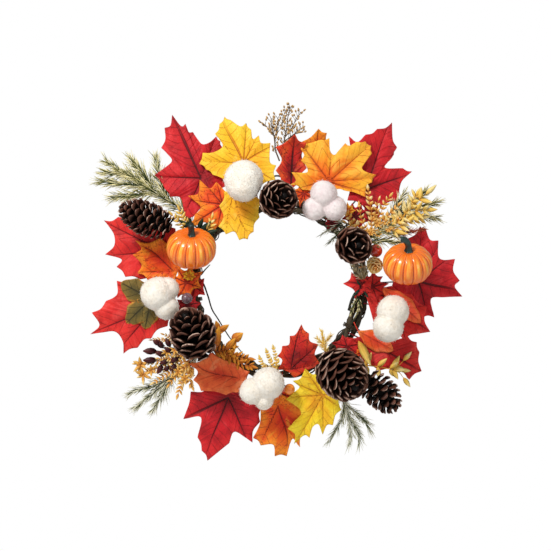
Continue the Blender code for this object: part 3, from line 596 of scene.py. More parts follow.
# Broad leaves: name, material slot, finish, clock and reach of the leaf's middle, layer, clock of the
# stem's seat, how far a side falls back from the main vein, curl of the tips (mm), and the outline
# clockwise from the main tip, as millimetres right and up from that middle.
BROAD_LEAVES = (
    ("red_leaf_1", "red", "crimson", 327, 1.49, 1, 327, 0.2, 2, (
        (-44, 82), (-33, 68), (-28, 71), (-24, 61), (-19, 61), (-13, 52), (-7, 46), (2, 49), (9, 56),
        (14, 50), (16, 43), (19, 20), (21, -4), (8, -18), (-8, -30), (-18, -41), (-27, -47), (-30, -30),
        (-34, -18), (-46, -17), (-52, -8), (-57, 1), (-65, 9), (-55, 16), (-44, 26), (-50, 35), (-57, 42),
        (-52, 52), (-53, 66), (-46, 69),
    )),
    ("red_leaf_3", "red", "crimson", 42, 1.57, 0, 42, 0.08, 3, (
        (32, 81), (33, 60), (38, 51), (34, 42), (23, 27), (45, 26), (56, 22), (43, 9), (39, -14), (21, -19),
        (-1, -22), (-22, -13), (-25, 23), (-18, 42), (-20, 64), (-10, 57), (0, 66), (14, 73),
    )),
    ("red_leaf_4", "red", "crimson", 87, 1.67, 0, 87, 0.05, 3, (
        (3, 65), (10, 61), (15, 49), (25, 48), (25, 30), (31, 25), (45, 26), (43, 12), (51, 0), (45, -7),
        (54, -19), (32, -20), (16, -22), (20, -44), (5, -44), (-16, -33), (-31, -6), (-30, 27), (-13, 50),
    )),
    ("red_leaf_8", "red", "crimson", 204, 1.42, 0, 204, 0.08, 3, (
        (-25, -76), (-32, -64), (-37, -48), (-33, -24), (-54, -26), (-47, -7), (-45, 7), (-22, 12), (1, 16),
        (25, 7), (42, -10), (38, -29), (29, -54), (8, -41), (1, -55), (-9, -63),
    )),
    ("red_leaf_9", "red", "scarlet", 288, 1.42, 1, 288, 0.03, -3, (
        (-72, 37), (-54, 41), (-27, 36), (-6, 42), (15, 27), (27, 3), (21, -24), (0, -36), (-27, -34),
        (-45, -31), (-56, -19), (-50, -10), (-70, -4), (-59, 6), (-59, 19), (-66, 30),
    )),
    ("red_leaf_10", "red", "scarlet", 261, 1.48, 2, 257, 0.03, 3, (
        (-44, 32), (-24, 34), (-3, 27), (18, 15), (24, -9), (17, -22), (-3, -37), (-11, -38), (-19, -48),
        (-36, -55), (-37, -40), (-46, -29), (-62, -30), (-76, -32), (-65, -21), (-74, -6), (-57, 8),
        (-48, 12), (-43, 18),
    )),
    ("red_leaf_6", "red", "scarlet", 120, 1.48, 0, 122, 0.03, 2, (
        (27, 17), (38, 10), (41, -2), (40, -13), (44, -25), (29, -35), (19, -23), (7, -21), (-7, -24),
        (-22, -15), (-40, -13), (-48, -3), (-58, 9), (-46, 16), (-28, 18), (-10, 13), (13, 13),
    )),
    ("russet_leaf", "russet", "russet", 16, 1.64, 0, 16, 0.03, 2, (
        (4, 31), (14, 26), (15, 13), (12, -1), (0, -15), (-12, -3), (-17, 15), (-6, 21),
    )),
    ("red_leaf_2", "red", "speckled red", 7, 1.34, 1, 7, 0.03, 3, (
        (5, 49), (10, 41), (19, 39), (13, 24), (19, 9), (10, -9), (1, -19), (-12, -12), (-18, 6), (-11, 19),
        (-18, 34), (-7, 39),
    )),
    ("yellow_leaf_1", "yellow", "golden", 345, 1.41, 2, 345, 0.02, 1, (
        (-26, 68), (-19, 64), (-7, 56), (0, 60), (6, 52), (8, 41), (15, 45), (18, 36), (29, 36), (28, 23),
        (29, 12), (36, 9), (35, -8), (22, -12), (3, -27), (-18, -18), (-28, -7), (-40, -2), (-48, 4),
        (-56, 11), (-53, 17), (-52, 24), (-42, 24), (-32, 28), (-28, 33), (-32, 41), (-37, 47), (-32, 59),
    )),
    ("red_leaf_7", "red", "speckled red", 166, 0.87, 1, 166, 0.03, 2.5, (
        (8, 42), (17, 31), (18, 22), (28, 18), (24, 6), (31, -6), (15, -13), (0, -22), (-9, -14),
        (-20, -12), (-15, -1), (-21, 4), (-15, 16), (-7, 18), (-6, 28), (1, 30),
    )),
    ("red_leaf_5", "red", "scarlet", 100, 1.44, 1, 100, 0.03, 3, (
        (40, -27), (27, -29), (16, -31), (9, -37), (-6, -22), (-28, -15), (-33, 3), (-37, 16), (-30, 30),
        (-6, 28), (18, 18), (36, 3), (33, -13),
    )),
    ("orange_leaf_3", "orange", "flame", 178, 1.55, 2, 178, 0.02, 0, (
        (-1, 31), (21, 25), (30, 3), (27, -15), (22, -34), (13, -24), (6, -45), (-8, -45), (-10, -31),
        (-25, -32), (-34, -23), (-26, -6), (-25, 12), (-13, 21),
    )),
    ("orange_leaf_2", "orange", "amber", 24, 1.4, 2, 24, 0.03, 3, (
        (-6, 48), (5, 50), (6, 35), (11, 30), (16, 35), (24, 44), (29, 41), (38, 46), (48, 46), (55, 41),
        (56, 32), (48, 21), (44, 14), (50, 9), (61, 6), (56, -3), (50, -7), (48, -20), (36, -15), (24, -13),
        (15, -11), (5, -18), (-13, -16), (-27, -12), (-42, -6), (-35, -1), (-40, 9), (-22, 9), (-23, 17),
        (-29, 23), (-25, 30), (-29, 37), (-29, 43), (-19, 44),
    )),
    ("orange_leaf_1", "orange", "flame", 327, 1.17, 2, 331, 0.03, 2, (
        (-28, 30), (-16, 20), (-8, 28), (3, 16), (13, 9), (12, -6), (3, -15), (-3, -24), (-11, -32),
        (-21, -21), (-33, -25), (-40, -22), (-34, -12), (-27, -2), (-42, 11), (-30, 14),
    )),
    ("yellow_leaf_2", "yellow", "golden", 336, 1.02, 3, 336, 0.03, 2, (
        (-21, 21), (-7, 27), (12, 25), (24, 10), (21, -10), (14, -27), (7, -36), (-3, -37), (-9, -27),
        (-19, -30), (-28, -21), (-22, -9), (-27, 4),
    )),
    ("yellow_leaf_3", "yellow", "lemon", 161, 1.39, 3, 161, 0.03, 2, (
        (-12, 37), (-4, 30), (4, 32), (13, 24), (24, 25), (27, 14), (35, 8), (28, -2), (31, -13), (24, -19),
        (21, -31), (14, -31), (9, -42), (4, -30), (-3, -33), (-7, -46), (-13, -43), (-25, -53), (-24, -42),
        (-33, -35), (-19, -22), (-18, -13), (-26, -6), (-35, 0), (-26, 8), (-19, 15), (-27, 22), (-18, 25),
    )),
    ("orange_leaf_4", "orange", "coral", 213, 1.21, 3, 213, 0.03, 2, (
        (-39, 13), (-25, 15), (-12, 26), (1, 18), (19, 12), (34, 3), (31, -15), (21, -22), (6, -25),
        (-7, -21), (-24, -20), (-33, -7), (-28, 3),
    )),
    ("orange_leaf_5", "orange", "flame", 283, 1.4, 2, 283, 0.03, 1.5, (
        (-31, 25), (-16, 22), (-1, 28), (16, 19), (28, -4), (16, -22), (-4, -21), (-16, -23), (-29, -14),
        (-24, -4), (-34, 8), (-24, 15),
    )),
    ("small_red_leaf_1", "red", "scarlet", 271, 0.97, 0, 271, 0.03, 2, (
        (11, 10), (10, -1), (12, -10), (4, -10), (-7, -18), (-8, -4), (-15, 1), (-7, 7), (-7, 14), (2, 8),
    )),
    ("small_red_leaf_2", "red", "scarlet", 87, 1.01, 2, 91, 0.03, 3, (
        (-23, 0), (-15, 5), (-13, 14), (-4, 7), (12, 9), (10, -5), (13, -11), (3, -10), (-9, -19),
        (-10, -8),
    )),
)


def spot(x, z, layer=0, lift=0.0):
    """A point on a layer, from millimetres right of and above the ring's centre. lift is forwards."""
    x, z = x * MM, z * MM
    return np.array((x, float(depth(x, z, layer)) - lift * MM, z)) + CENTRE


def smooth(points, step, whole=int):
    """A smooth path through points, without its last point."""
    ends = [2 * points[0] - points[1], *points, 2 * points[-1] - points[-2]]
    path = []
    for a, b, c, d in zip(ends, ends[1:], ends[2:], ends[3:]):
        count = max(2, whole(np.linalg.norm(c - b) / step))
        for k in range(count):
            t = k / count
            bend = (c - a) * t + (2 * a - 5 * b + 4 * c - d) * t**2 + (3 * b - a - 3 * c + d) * t**3
            path.append(0.5 * (2 * b + bend))
    return path


def bend_through(points, step=0.004):
    """A smooth path through points."""
    points = [np.asarray(p, float) for p in points]
    return np.array([*smooth(points, step), points[-1]])


# ---- Broad leaves ----
RIM_STEP = 1.7  # millimetres between points along the rim
RING_STEP = 3.0  # and between rings of points from the middle outwards
HOLLOW = 0.13  # how deep the arc between two tips is cut, as a share of the distance between them
PUFF, PUFF_WIDTH = 1.3, 3.5  # the cloth's rise beside a main vein, mm
BELLY, BELLY_WIDTH = 1.6, 11  # and its wider rise between the veins
PLEAT, PLEAT_GAP = 0.22, 8.0  # small waves along the side veins
FLUTE, FLUTES = 1.1, 9  # waves of the rim
FOLD_DEPTH, FOLD_WIDTH = 45, 30


def rim_of(outline, seed):
    """The rim in millimetres: sharp tips, with a hollow arc or a round bay between each pair."""
    outline = [np.array(p, float) for p in outline]
    count = len(outline)

    def bay(i):
        a, b, c = outline[i - 1], outline[i % count], outline[(i + 1) % count]
        return (b - a)[0] * (c - b)[1] - (b - a)[1] * (c - b)[0] > 0

    tips = [i for i in range(count) if not bay(i)]
    rim = []
    for number, first in enumerate(tips):
        last = tips[(number + 1) % len(tips)]
        last += count if last <= first else 0
        path = [outline[i % count] for i in range(first, last + 1)]
        if len(path) == 2:
            span = np.linalg.norm(path[1] - path[0])
            out = np.array((-(path[1] - path[0])[1], (path[1] - path[0])[0])) / span
            wave = noise.noise((seed * 7.3 + first, 0.5, 0.5))
            path.insert(1, (path[0] + path[1]) / 2 - out * span * (HOLLOW + 0.05 * wave))
        rim += smooth(path, RIM_STEP, round)
    return np.array(rim)


# Where a leaf's veins meet when that isn't at its middle: millimetres right and up of it.
HUBS = {
    "yellow_leaf_3": (9, 5), "orange_leaf_4": (20, -5), "yellow_leaf_2": (-10, 20), "yellow_leaf_1": (-3, 12),
    "orange_leaf_5": (15, -12), "red_leaf_7": (-5, -12), "orange_leaf_3": (-4, 16), "red_leaf_1": (-9, 5),
    "russet_leaf": (0, -10), "red_leaf_2": (0, -14), "orange_leaf_2": (5, -2),
}


def main_veins(outline, apart=24, most=7):
    """The directions of the lobes' tips, longest first."""
    reach = [math.hypot(*p) for p in outline]
    count = len(outline)
    tips = [i for i in range(count) if reach[i] > reach[i - 1] and reach[i] > reach[(i + 1) % count]]
    found = []
    for i in sorted(tips, key=lambda i: -reach[i]):
        way = np.array(outline[i], float) / reach[i]
        if len(found) < most and all(math.degrees(math.acos(min(1, way @ other))) > apart for other in found):
            found.append(way)
    return found


def broad_leaf(name, slot, look, clock, reach, layer, seat, fold, curl, outline, *nodes):
    """One lobed leaf of cloth with sunken veins, pushed out into relief (mm) from its layer."""
    seed = sum(map(ord, name))
    rim = rim_of(outline, seed)
    hub = np.array(HUBS.get(name, (0, 0)), float)
    veins = main_veins([(px - hub[0], pz - hub[1]) for px, pz in outline])
    far = np.linalg.norm(rim, axis=1).max()
    rings = max(6, round(far / RING_STEP))
    count = len(rim)
    shares = np.repeat(np.arange(1, rings + 1) / rings, count)
    flat = np.concatenate([np.zeros((1, 2)), np.tile(rim, (rings, 1)) * shares[:, None]])
    shares = np.concatenate([[0.0], shares])
    fixed = flat - hub
    around = np.arctan2(fixed[:, 0], fixed[:, 1])
    away = np.hypot(fixed[:, 0], fixed[:, 1]) / far
    sway = np.array([noise.noise((math.sin(a) * 2.1, math.cos(a) * 2.1, seed * 3.7)) for a in around])
    bent = around + 0.6 * sway * away * (1.2 - away)
    bent = np.stack([np.sin(bent), np.cos(bent)], axis=1) * (away * far)[:, None]
    along = np.stack([bent @ vein for vein in veins])
    across = np.stack([np.abs(bent[:, 0] * vein[1] - bent[:, 1] * vein[0]) for vein in veins])
    across = np.where(along > 0, across, np.hypot(fixed[:, 0], fixed[:, 1]))
    nearest = across.argmin(axis=0)
    across = across.min(axis=0)
    along = np.take_along_axis(along, nearest[None], 0)[0]
    side = flat[:, 0] * veins[0][1] - flat[:, 1] * veins[0][0]
    side = np.where(side > 0, side, -0.1 * side)
    x, z = (np.array(plan(clock, reach)) + flat * MM).T
    out = np.hypot(x, z) - RING_RADIUS
    free = 0.7 + 0.9 * np.clip((out - 0.025) / 0.05, 0, 1)
    rough = np.array([
        noise.noise((px * 38, pz * 38, seed)) + noise.noise((px * 17, pz * 17, seed)) for px, pz in zip(x, z)
    ])
    relief = PUFF * (1 - np.exp(-across / PUFF_WIDTH)) + BELLY * (1 - np.exp(-((across / BELLY_WIDTH) ** 2)))
    relief *= 1 - 0.35 * shares**2
    relief += PLEAT * np.cos(math.tau * (along - across * 1.15) / PLEAT_GAP) * np.clip(across / 6, 0, 1)
    relief += shares**3 * FLUTE * np.sin(around * FLUTES + seed) + rough * 0.8
    relief += curl * away**3 * free
    relief -= fold * FOLD_DEPTH * (1 - np.exp(-side / FOLD_WIDTH))
    y = depth(x, z, layer) - MM * relief * free
    points = np.stack([x, y, z], axis=1) + CENTRE
    faces = fan(0, 1, count, back=True) + bands(rings, count, first=1)
    blade = mesh_piece(name, points, faces, leaf=np.stack([across, along, shares], axis=1))
    apply(blade, "SOLIDIFY", thickness=LEAF_THICKNESS, offset=-1)
    petiole(blade, (float(x[0]), float(z[0])), seat, layer)
    return settle(blade, look, slot, *nodes)


def petiole(blade, start, seat, layer):
    """Adds a leaf's wired stem, which runs behind it to the vines."""
    path = np.array(wire_path(start, seat, layer, WIRE_RISE))
    points, faces, carried = tube_shape(path, STEM_RADIUS, 6, carry=lambda a, k: (0.0, k * 20, 0.1))
    join(blade, mesh_piece("stem", points, faces, leaf=carried))


def join(first, *others):
    active(first)
    for other in others:
        other.select_set(True)
    bpy.ops.object.join()
    bpy.ops.object.select_all(action="DESELECT")
    return first


# ---- Small foliage ----
LEAFLET_STATIONS = (0.0, 0.16, 0.36, 0.58, 0.8, 0.94)


def leaflet(bunch, root, way, face, length, width, curl, own):
    """One small pointed leaf, closed, 6 stations long. face is the way that its upper side looks."""
    way = np.asarray(way) / np.linalg.norm(way)
    face = face - way * np.dot(face, way)
    face = face / (np.linalg.norm(face) + 1e-9)
    side = np.cross(way, face)
    points, carried = [], []
    for t in LEAFLET_STATIONS:
        half = width / 2 * max(0.10, math.sin(math.pi * min(1, t**0.8 * 0.96 + 0.03)))
        middle = root + way * length * t + face * (curl * length * t * t)
        cup = face * half * 0.30
        for offset, share in (
            (side * half + cup, 1), (face * 0.0002, 0), (-side * half + cup, 1), (-face * 0.0002, 0),
        ):
            points.append(middle + offset)
            carried.append((t, own, share))
    tip = root + way * length + face * (curl * length)
    last = len(points) - 4
    points += [root, tip]
    carried += [(0, own, 0), (1, own, 0)]
    faces = bands(len(LEAFLET_STATIONS), 4) + fan(last + 4, 0, 4, back=True) + fan(last + 5, last, 4)
    bunch.add(points, faces, carried)


def needle(bunch, root, way, droop, length, own, thick=0.00044):
    """One needle: three-sided and a little curved."""
    way = way / np.linalg.norm(way)
    side, up = frame_along(way)
    points, carried = [], []
    for t, wide in ((0, 0.9), (0.4, 1.0), (0.8, 0.7)):
        middle = root + way * length * t + droop * length * t * t
        for i in range(3):
            a = math.tau * i / 3
            points.append(middle + (side * math.cos(a) + up * math.sin(a)) * thick * wide)
            carried.append((t, own, 1))
    points += [root + way * length + droop * length, root]
    carried += [(1, own, 1), (0, own, 1)]
    bunch.add(points, bands(3, 3) + fan(9, 6, 3) + fan(10, 0, 3, back=True), carried)


def stalk(bunch, path, thick, thin=0.35, own=0.2, sides=5):
    """A thin stem that narrows towards its end. Stems carry a low share, so they take the root colour."""
    count = len(path)
    radii = np.linspace(thick, thick * thin, count)
    bunch.add(*tube_shape(path, radii, sides, carry=lambda a, k: (0.12 * k, own, 1.0), rough=0.25))


FRONT = np.array((0.0, -1.0, 0.0))


def pine_branch(bunch, rng, path, length, every, spread=34, thick=0.0008, flat=0.5, bare=0.05):
    """Needles all round a stem, leaning towards its tip. flat holds them towards the wreath's plane."""
    stalk(bunch, path, thick)
    total = len(path)
    for k in range(int(bare * total), total):
        way = path[min(k + 1, total - 1)] - path[max(k - 1, 0)]
        way /= np.linalg.norm(way)
        side, up = frame_along(way)
        share = k / total
        for _ in range(every):
            turn, lean = rng.uniform(0, math.tau), math.radians(rng.gauss(spread, 9) * (1.15 - 0.6 * share))
            out = side * math.cos(turn) + up * math.sin(turn)
            out[1] *= flat
            root = path[k] + way * rng.uniform(-0.002, 0.002)
            droop = np.array((rng.uniform(-0.12, 0.12), rng.uniform(-0.05, 0.1), rng.uniform(-0.16, 0.08)))
            own = rng.random()
            needle(
                bunch, root, way * math.cos(lean) + out * math.sin(lean), droop,
                length * rng.uniform(0.7, 1.1) * (1.05 - 0.25 * share), own,
            )


def pine_sprig(name, look, layer, seat, branches, length, every, seed, slot="pine", nodes=(), **more):
    """branches are lists of (right, up, lift) in millimetres."""
    rng = random.Random(seed)
    bunch = Bunch()
    root = branches[0][0]
    rooted(bunch, root, seat, layer, 0.0010)
    for branch in branches:
        path = bend_through([spot(x, z, layer, lift) for x, z, lift in branch], 0.0026)
        pine_branch(bunch, rng, path, length, every, **more)
    return settle(bunch.piece(name, "sprig"), look, slot, *nodes)


def leafy_stalk(
    bunch, rng, points, layer, size, width, gap, angle=48, thick=0.0007, bare=0.15, tilt=0.5, curl=0.1,
):
    """Pairs of small leaves up a thin stem. points are (right, up, lift) in millimetres."""
    path = bend_through([spot(x, z, layer, lift) for x, z, lift in points], 0.0015)
    stalk(bunch, path, thick)
    total = len(path)
    every = max(1, round(gap / 1.5))
    for number, k in enumerate(range(int(bare * total), total - 1, every)):
        way = path[k + 1] - path[k - 1] if k else path[1] - path[0]
        way /= np.linalg.norm(way)
        across = np.cross(way, FRONT)
        across /= np.linalg.norm(across) + 1e-9
        share = k / total
        for hand in (-1, 1):
            lean = math.radians(angle * rng.uniform(0.75, 1.2) * (1.1 - 0.4 * share))
            out = way * math.cos(lean) + across * hand * math.sin(lean) + FRONT * rng.uniform(-0.15, 0.4)
            face = FRONT + across * rng.uniform(-tilt, tilt) + way * rng.uniform(-tilt, tilt)
            leaflet(
                bunch, path[k], out, face, size * rng.uniform(0.75, 1.15) * (1.1 - 0.35 * share) * MM,
                width * rng.uniform(0.8, 1.15) * (1.1 - 0.3 * share) * MM, curl * rng.uniform(-0.5, 1.5),
                rng.random(),
            )
    way = path[-1] - path[-3]
    leaflet(bunch, path[-1], way, FRONT, size * MM, width * MM * 0.9, curl, rng.random())


def bud(bunch, root, way, length, width, own, open_end=0.35):
    """A closed tulip bud: a small turned form with five folds."""
    way = np.asarray(way) / np.linalg.norm(way)
    side, up = frame_along(way)
    points, carried = [], []
    sides = 10
    profile = ((0.06, 0.25), (0.22, 0.8), (0.45, 1.0), (0.7, 0.82), (0.9, open_end), (1.0, open_end * 0.5))
    for t, wide in profile:
        for i in range(sides):
            a = math.tau * i / sides
            r = width / 2 * wide * (1 + 0.16 * math.cos(a * 5) * t)
            points.append(root + way * length * t + (side * math.cos(a) + up * math.sin(a)) * r)
            carried.append((t, own, 0.5 + 0.5 * math.cos(a * 5)))
    points += [root, root + way * length * 0.94]
    carried += [(0, own, 1), (1, own, 0)]
    last = (len(profile) - 1) * sides
    faces = bands(len(profile), sides)
    faces += fan(len(points) - 2, 0, sides, back=True) + fan(len(points) - 1, last, sides)
    bunch.add(points, faces, carried)


def rooted(bunch, root, seat, layer, thick=0.0009):
    """The wired end of a sprig, back to the vines."""
    path = np.array(wire_path((root[0] * MM, root[1] * MM), seat, layer))
    bunch.add(*tube_shape(path, thick, 6, carry=lambda a, k: (0.05, 0.3, 1.0)))


def new_sprig(seed, root, seat, layer):
    """Random numbers of its own, and a bunch that starts with the sprig's wire."""
    bunch = Bunch()
    rooted(bunch, root, seat, layer)
    return random.Random(seed), bunch


def leafy_stalks(bunch, rng, rows, layer, **more):
    """Rows of: points, a leaf's length and width, the gap between pairs, and their angle."""
    for points, *leaves in rows:
        leafy_stalk(bunch, rng, points, layer, *leaves, **more)


# ---- Cones ----
SCALE_STATIONS = (
    (0.0, 0.24, 0.0, 0.09), (0.42, 0.50, 0.01, 0.08), (0.72, 0.92, 0.05, 0.09), (0.87, 1.0, 0.11, 0.14),
    (0.97, 0.82, 0.19, 0.13), (1.03, 0.42, 0.25, 0.06),
)


GOLDEN_TURN = 137.508  # degrees from one scale to the next
BASE_LIFT, TIP_LIFT, LEAST_LIFT = 104, 38, 16  # degrees between a scale and the axis


def pinecone(
    name, centre, heading, lean, length, radius, count, spread, closed, wide, knob, seed, key="scale"
):
    """Scales in a spiral about a core. spread opens them outwards, closed draws them to the axis."""
    rng = random.Random(seed)
    bunch = Bunch()
    turn = np.array(
        Matrix.Rotation(math.radians(heading), 3, "Y") @ Matrix.Rotation(math.radians(lean), 3, "X")
    )
    middle = np.array(centre) + CENTRE

    def put(points):
        return np.asarray(points) @ turn.T + middle

    def belly(share):
        return radius * max(0.05, math.sin(math.pi * min(1.0, 0.17 + 0.80 * share)) ** 0.62)

    core = [(0.0, 0.0, -length * 0.46 + length * 0.9 * k / 12) for k in range(13)]
    radii = [max(1 * MM, belly(k / 12) * 0.42) for k in range(13)]
    # The core carries a low share, so it takes the near-black painted shade of the scales' roots.
    points, faces, carried = tube_shape(core, radii, 10, carry=lambda a, k: (0.05, 0.2, 0.0))
    bunch.add(put(points), faces, carried)
    for i in range(count):
        share = i / (count - 1)
        angle = math.radians(i * GOLDEN_TURN) + rng.uniform(-0.05, 0.05)
        reach = belly(share)
        lift = BASE_LIFT + (TIP_LIFT - BASE_LIFT) * share**0.8
        lift = math.radians(max(lift * spread * (1 - closed * 0.45) + rng.uniform(-4, 4), LEAST_LIFT))
        long_ = min(reach / max(math.sin(lift), 0.42), radius * 1.05) * rng.uniform(0.96, 1.04)
        half = max(0.0022, reach * 0.30 + 0.0008) * wide * rng.uniform(0.92, 1.06)
        height = -length * 0.44 + length * 0.86 * share**0.92 - long_ * math.cos(lift) * 0.72
        outward = np.array((math.cos(angle), math.sin(angle), 0.0))
        sideways = np.array((-math.sin(angle), math.cos(angle), 0.0))
        way = outward * math.sin(lift) + np.array((0, 0, math.cos(lift)))
        top = np.cross(sideways, way)
        top = -top if top[2] < 0 else top
        own = rng.random()
        crown = max(0.0, share - 0.8) * 0.45
        points, carried = [], []
        for t, w, rise, thick in SCALE_STATIONS:
            base = np.array((0, 0, height)) + way * long_ * t + top * long_ * rise * 0.55
            for j in range(8):
                a = math.tau * j / 8
                droop = -0.25 * abs(math.cos(a)) ** 2 * half * w
                points.append(
                    base + sideways * half * w * math.cos(a)
                    + top * (half * thick * 1.25 * knob * math.sin(a) + droop)
                )
                # The third number marks the upper side of the scale, where the painted lip highlight goes.
                carried.append(
                    (t * (0.93 + 0.07 * abs(math.cos(a))) + crown, own, max(0.0, math.sin(a) * 0.8 + 0.2))
                )
        ends = [tuple(range(7, -1, -1)), tuple(range(len(points) - 8, len(points)))]
        faces = bands(len(SCALE_STATIONS), 8) + ends
        if np.dot(np.cross(sideways, top), way) < 0:
            faces = [face[::-1] for face in faces]
        bunch.add(put(points), faces, carried)
    return bunch.piece(name, key)


# ---- Cotton bolls ----
VOXEL = 0.0009
HAIRS, HAIR_RADIUS = 1400, 0.00013
LUMPS, GRAINS = 0.0006, 0.0003  # how far the surface is pushed in and out


def cotton_boll(name, centre, lobes, look, seed):
    """Tufts grown into each other, with fluff that stands off them."""
    middle = np.array(centre) + CENTRE
    parts = []
    for right, up, forward, radius in lobes:
        bpy.ops.mesh.primitive_ico_sphere_add(
            subdivisions=4, radius=radius - 0.0006, location=tuple(middle + np.array((right, -forward, up)))
        )
        parts.append(bpy.context.object)
        bpy.ops.object.transform_apply(location=True, rotation=True, scale=True)
    boll = join(parts[0], *parts[1:]) if len(parts) > 1 else parts[0]
    boll.name = boll.data.name = name
    apply(boll, "REMESH", mode="VOXEL", voxel_size=VOXEL)
    apply(boll, "SMOOTH", factor=0.5, iterations=5)
    rng = random.Random(seed)
    mesh = boll.data
    for vertex in mesh.vertices:
        n = vertex.normal
        big = noise.noise(vertex.co * 70 + Vector((seed, 0, 0)))
        small = noise.noise(vertex.co * 260 + Vector((0, seed, 0)))
        vertex.co += n * (LUMPS * big + GRAINS * small)
    mesh.polygons.foreach_set("use_smooth", np.full(len(mesh.polygons), True))
    mesh.update()
    fluff = Bunch()
    picks = rng.sample(range(len(mesh.vertices)), min(HAIRS, len(mesh.vertices)))
    for index in picks:
        vertex = mesh.vertices[index]
        n = np.array(vertex.normal)
        comb = np.array([rng.uniform(-1, 1) for _ in range(3)])
        way = n * 0.55 + comb * 0.8
        root = np.array(vertex.co) - n * 0.0004
        needle(
            fluff, root, way, -n * 0.35 + comb * 0.2, rng.uniform(0.0022, 0.0042), rng.random(), HAIR_RADIUS,
        )
    settle(boll, look, "cotton", name)
    settle(fluff.piece(name + "_fluff", "sprig"), look, "cotton")


# ---- Pumpkins ----
PUMPKIN_RADIUS, PUMPKIN_HEIGHT, PUMPKIN_RIBS = 0.0298, 0.042, 14
STALK_RADIUS, STALK_FLUTES = 0.0044, 5


def pumpkin(name, centre, roll, lean, stalk_height, bend):
    """A ribbed form that sinks in at both poles, and a fluted stalk that leans over by bend."""
    turn = Matrix.Rotation(math.radians(roll), 4, "Y") @ Matrix.Rotation(math.radians(lean), 4, "X")
    place = Matrix.Translation(Vector(centre) + RING) @ turn
    half = PUMPKIN_HEIGHT / 2
    sides, rows = PUMPKIN_RIBS * 12, 34
    points, carried = [], []
    for row in range(rows + 1):
        t = row / rows
        a = math.radians(-90 + 180 * t)
        r = PUMPKIN_RADIUS * math.cos(a) ** 0.7 if row not in (0, rows) else 0.0
        sink = 0.22 * half * math.exp(-((r / (PUMPKIN_RADIUS * 0.30)) ** 2))
        h = half * math.sin(a) - math.copysign(sink, math.sin(a))
        for i in range(sides if 0 < row < rows else 1):
            around = i / sides * PUMPKIN_RIBS
            cut = abs((around % 1) - 0.5) * 2
            groove = 0.085 * cut**5 + 0.02 * cut**2
            theta = math.tau * i / sides
            uneven = 1 + 0.02 * noise.noise((math.cos(theta) * 1.4, math.sin(theta) * 1.4, t))
            reach = r * (1 - groove * min(1, r / (PUMPKIN_RADIUS * 0.3))) * uneven
            points.append((reach * math.cos(theta), reach * math.sin(theta), h))
            carried.append((around, t, cut))
    rind = mesh_piece(name, [place @ Vector(p) for p in points], turned(rows, sides), rind=carried)
    settle(rind, "pumpkin", "pumpkin", name)

    foot = half * 0.72
    path, radii = [], []
    for k in range(15):
        t = k / 14
        swing = max(0.0, t - 0.25) ** 1.6 * 1.58
        rise = t * 1.18 - 0.36 * swing * (bend / 0.009) * t
        path.append((-bend * swing, 0.0012 * math.sin(t * 3), foot + stalk_height * rise))
        radii.append(STALK_RADIUS * (0.72 + math.exp(-t * 9) + 0.10 * t))
    sides = 20
    shape, faces, carried = tube_shape(path, radii, sides, carry=lambda a, k: (a * STALK_FLUTES, k, 0.5))
    ribbed = []
    for index, point in enumerate(shape):
        k = min(index // sides, len(path) - 1)
        axis = np.array(path[k])
        a = math.tau * (index % sides) / sides
        fold = 1 + 0.16 * math.cos(a * STALK_FLUTES) if index < sides * len(path) else 1
        ribbed.append(place @ Vector(axis + (np.array(point) - axis) * fold))
    stem = mesh_piece(name + "_stalk", ribbed, faces, rind=carried)
    settle(stem, "stalk", "stem", name + "_stem")


# ---- Vines and wires ----
def ring_point(angle, out, back):
    radius = RING_RADIUS + out
    return np.array((math.sin(angle) * radius, back, math.cos(angle) * radius)) + CENTRE


def vine(strand):
    """One strand: the thick vine, with knots, and thinner shoots that wind along it."""
    rng = random.Random(strand)
    count = 240
    own = strand / 3
    path, radii = [], []
    phase = math.tau * strand / 3
    for i in range(count):
        a = math.tau * i / count
        twist = a * VINE_TURNS + phase
        wobble = 0.0004 * math.sin(a * 17 + strand)
        path.append(
            ring_point(a, (VINE_OFFSET + wobble) * math.cos(twist), (VINE_OFFSET + wobble) * math.sin(twist))
        )
        knot = max(0.0, math.sin(a * 11 + strand * 2.1)) ** 14
        radii.append(VINE_RADIUS * (0.80 + 0.17 * knot + 0.05 * math.sin(a * 7 + strand)))
    bunch = Bunch()
    bark = {"carry": lambda a, k: (a, k * 10, own), "rough": 0.16, "seed": strand}
    bunch.add(*tube_shape(path, radii, 16, closed=True, **bark))
    for shoot in range(3):
        start, length = rng.uniform(0, math.tau), rng.uniform(1.6, 3.2)
        lead = []
        for k in range(60):
            a = start + length * k / 59
            twist = a * (VINE_TURNS + 4 + shoot * 2) + phase + shoot
            radius = 0.0090 + 0.0006 * math.sin(a * 9)
            lead.append(ring_point(a, radius * math.cos(twist), radius * math.sin(twist)))
        bark = {"carry": lambda a, k: (a, k * 9, 0.7), "rough": 0.2, "seed": shoot}
        bunch.add(*tube_shape(lead, np.linspace(0.0010, 0.0006, 60), 7, **bark))
    return settle(bunch.piece(f"vine_strand_{strand + 1}", "bark"), "bark", "vine", f"vine_{strand + 1}")


def tendril(name, points, thick, *nodes, thin=0.5):
    """points are (right, up, back) in millimetres from the ring's centre."""
    path = bend_through([np.array((x, back, z)) * MM + CENTRE for x, z, back in points], 0.002)
    radii = np.linspace(thick, thick * thin, len(path))
    shape = tube_shape(path, radii, 8, carry=lambda a, k: (a, k * 3, 0.4), rough=0.15)
    bunch = Bunch()
    bunch.add(*shape)
    return settle(bunch.piece(name, "bark"), "tendril", "vine", *nodes)


BINDING_RADIUS, BINDING_GAP = 0.0006, 0.0017


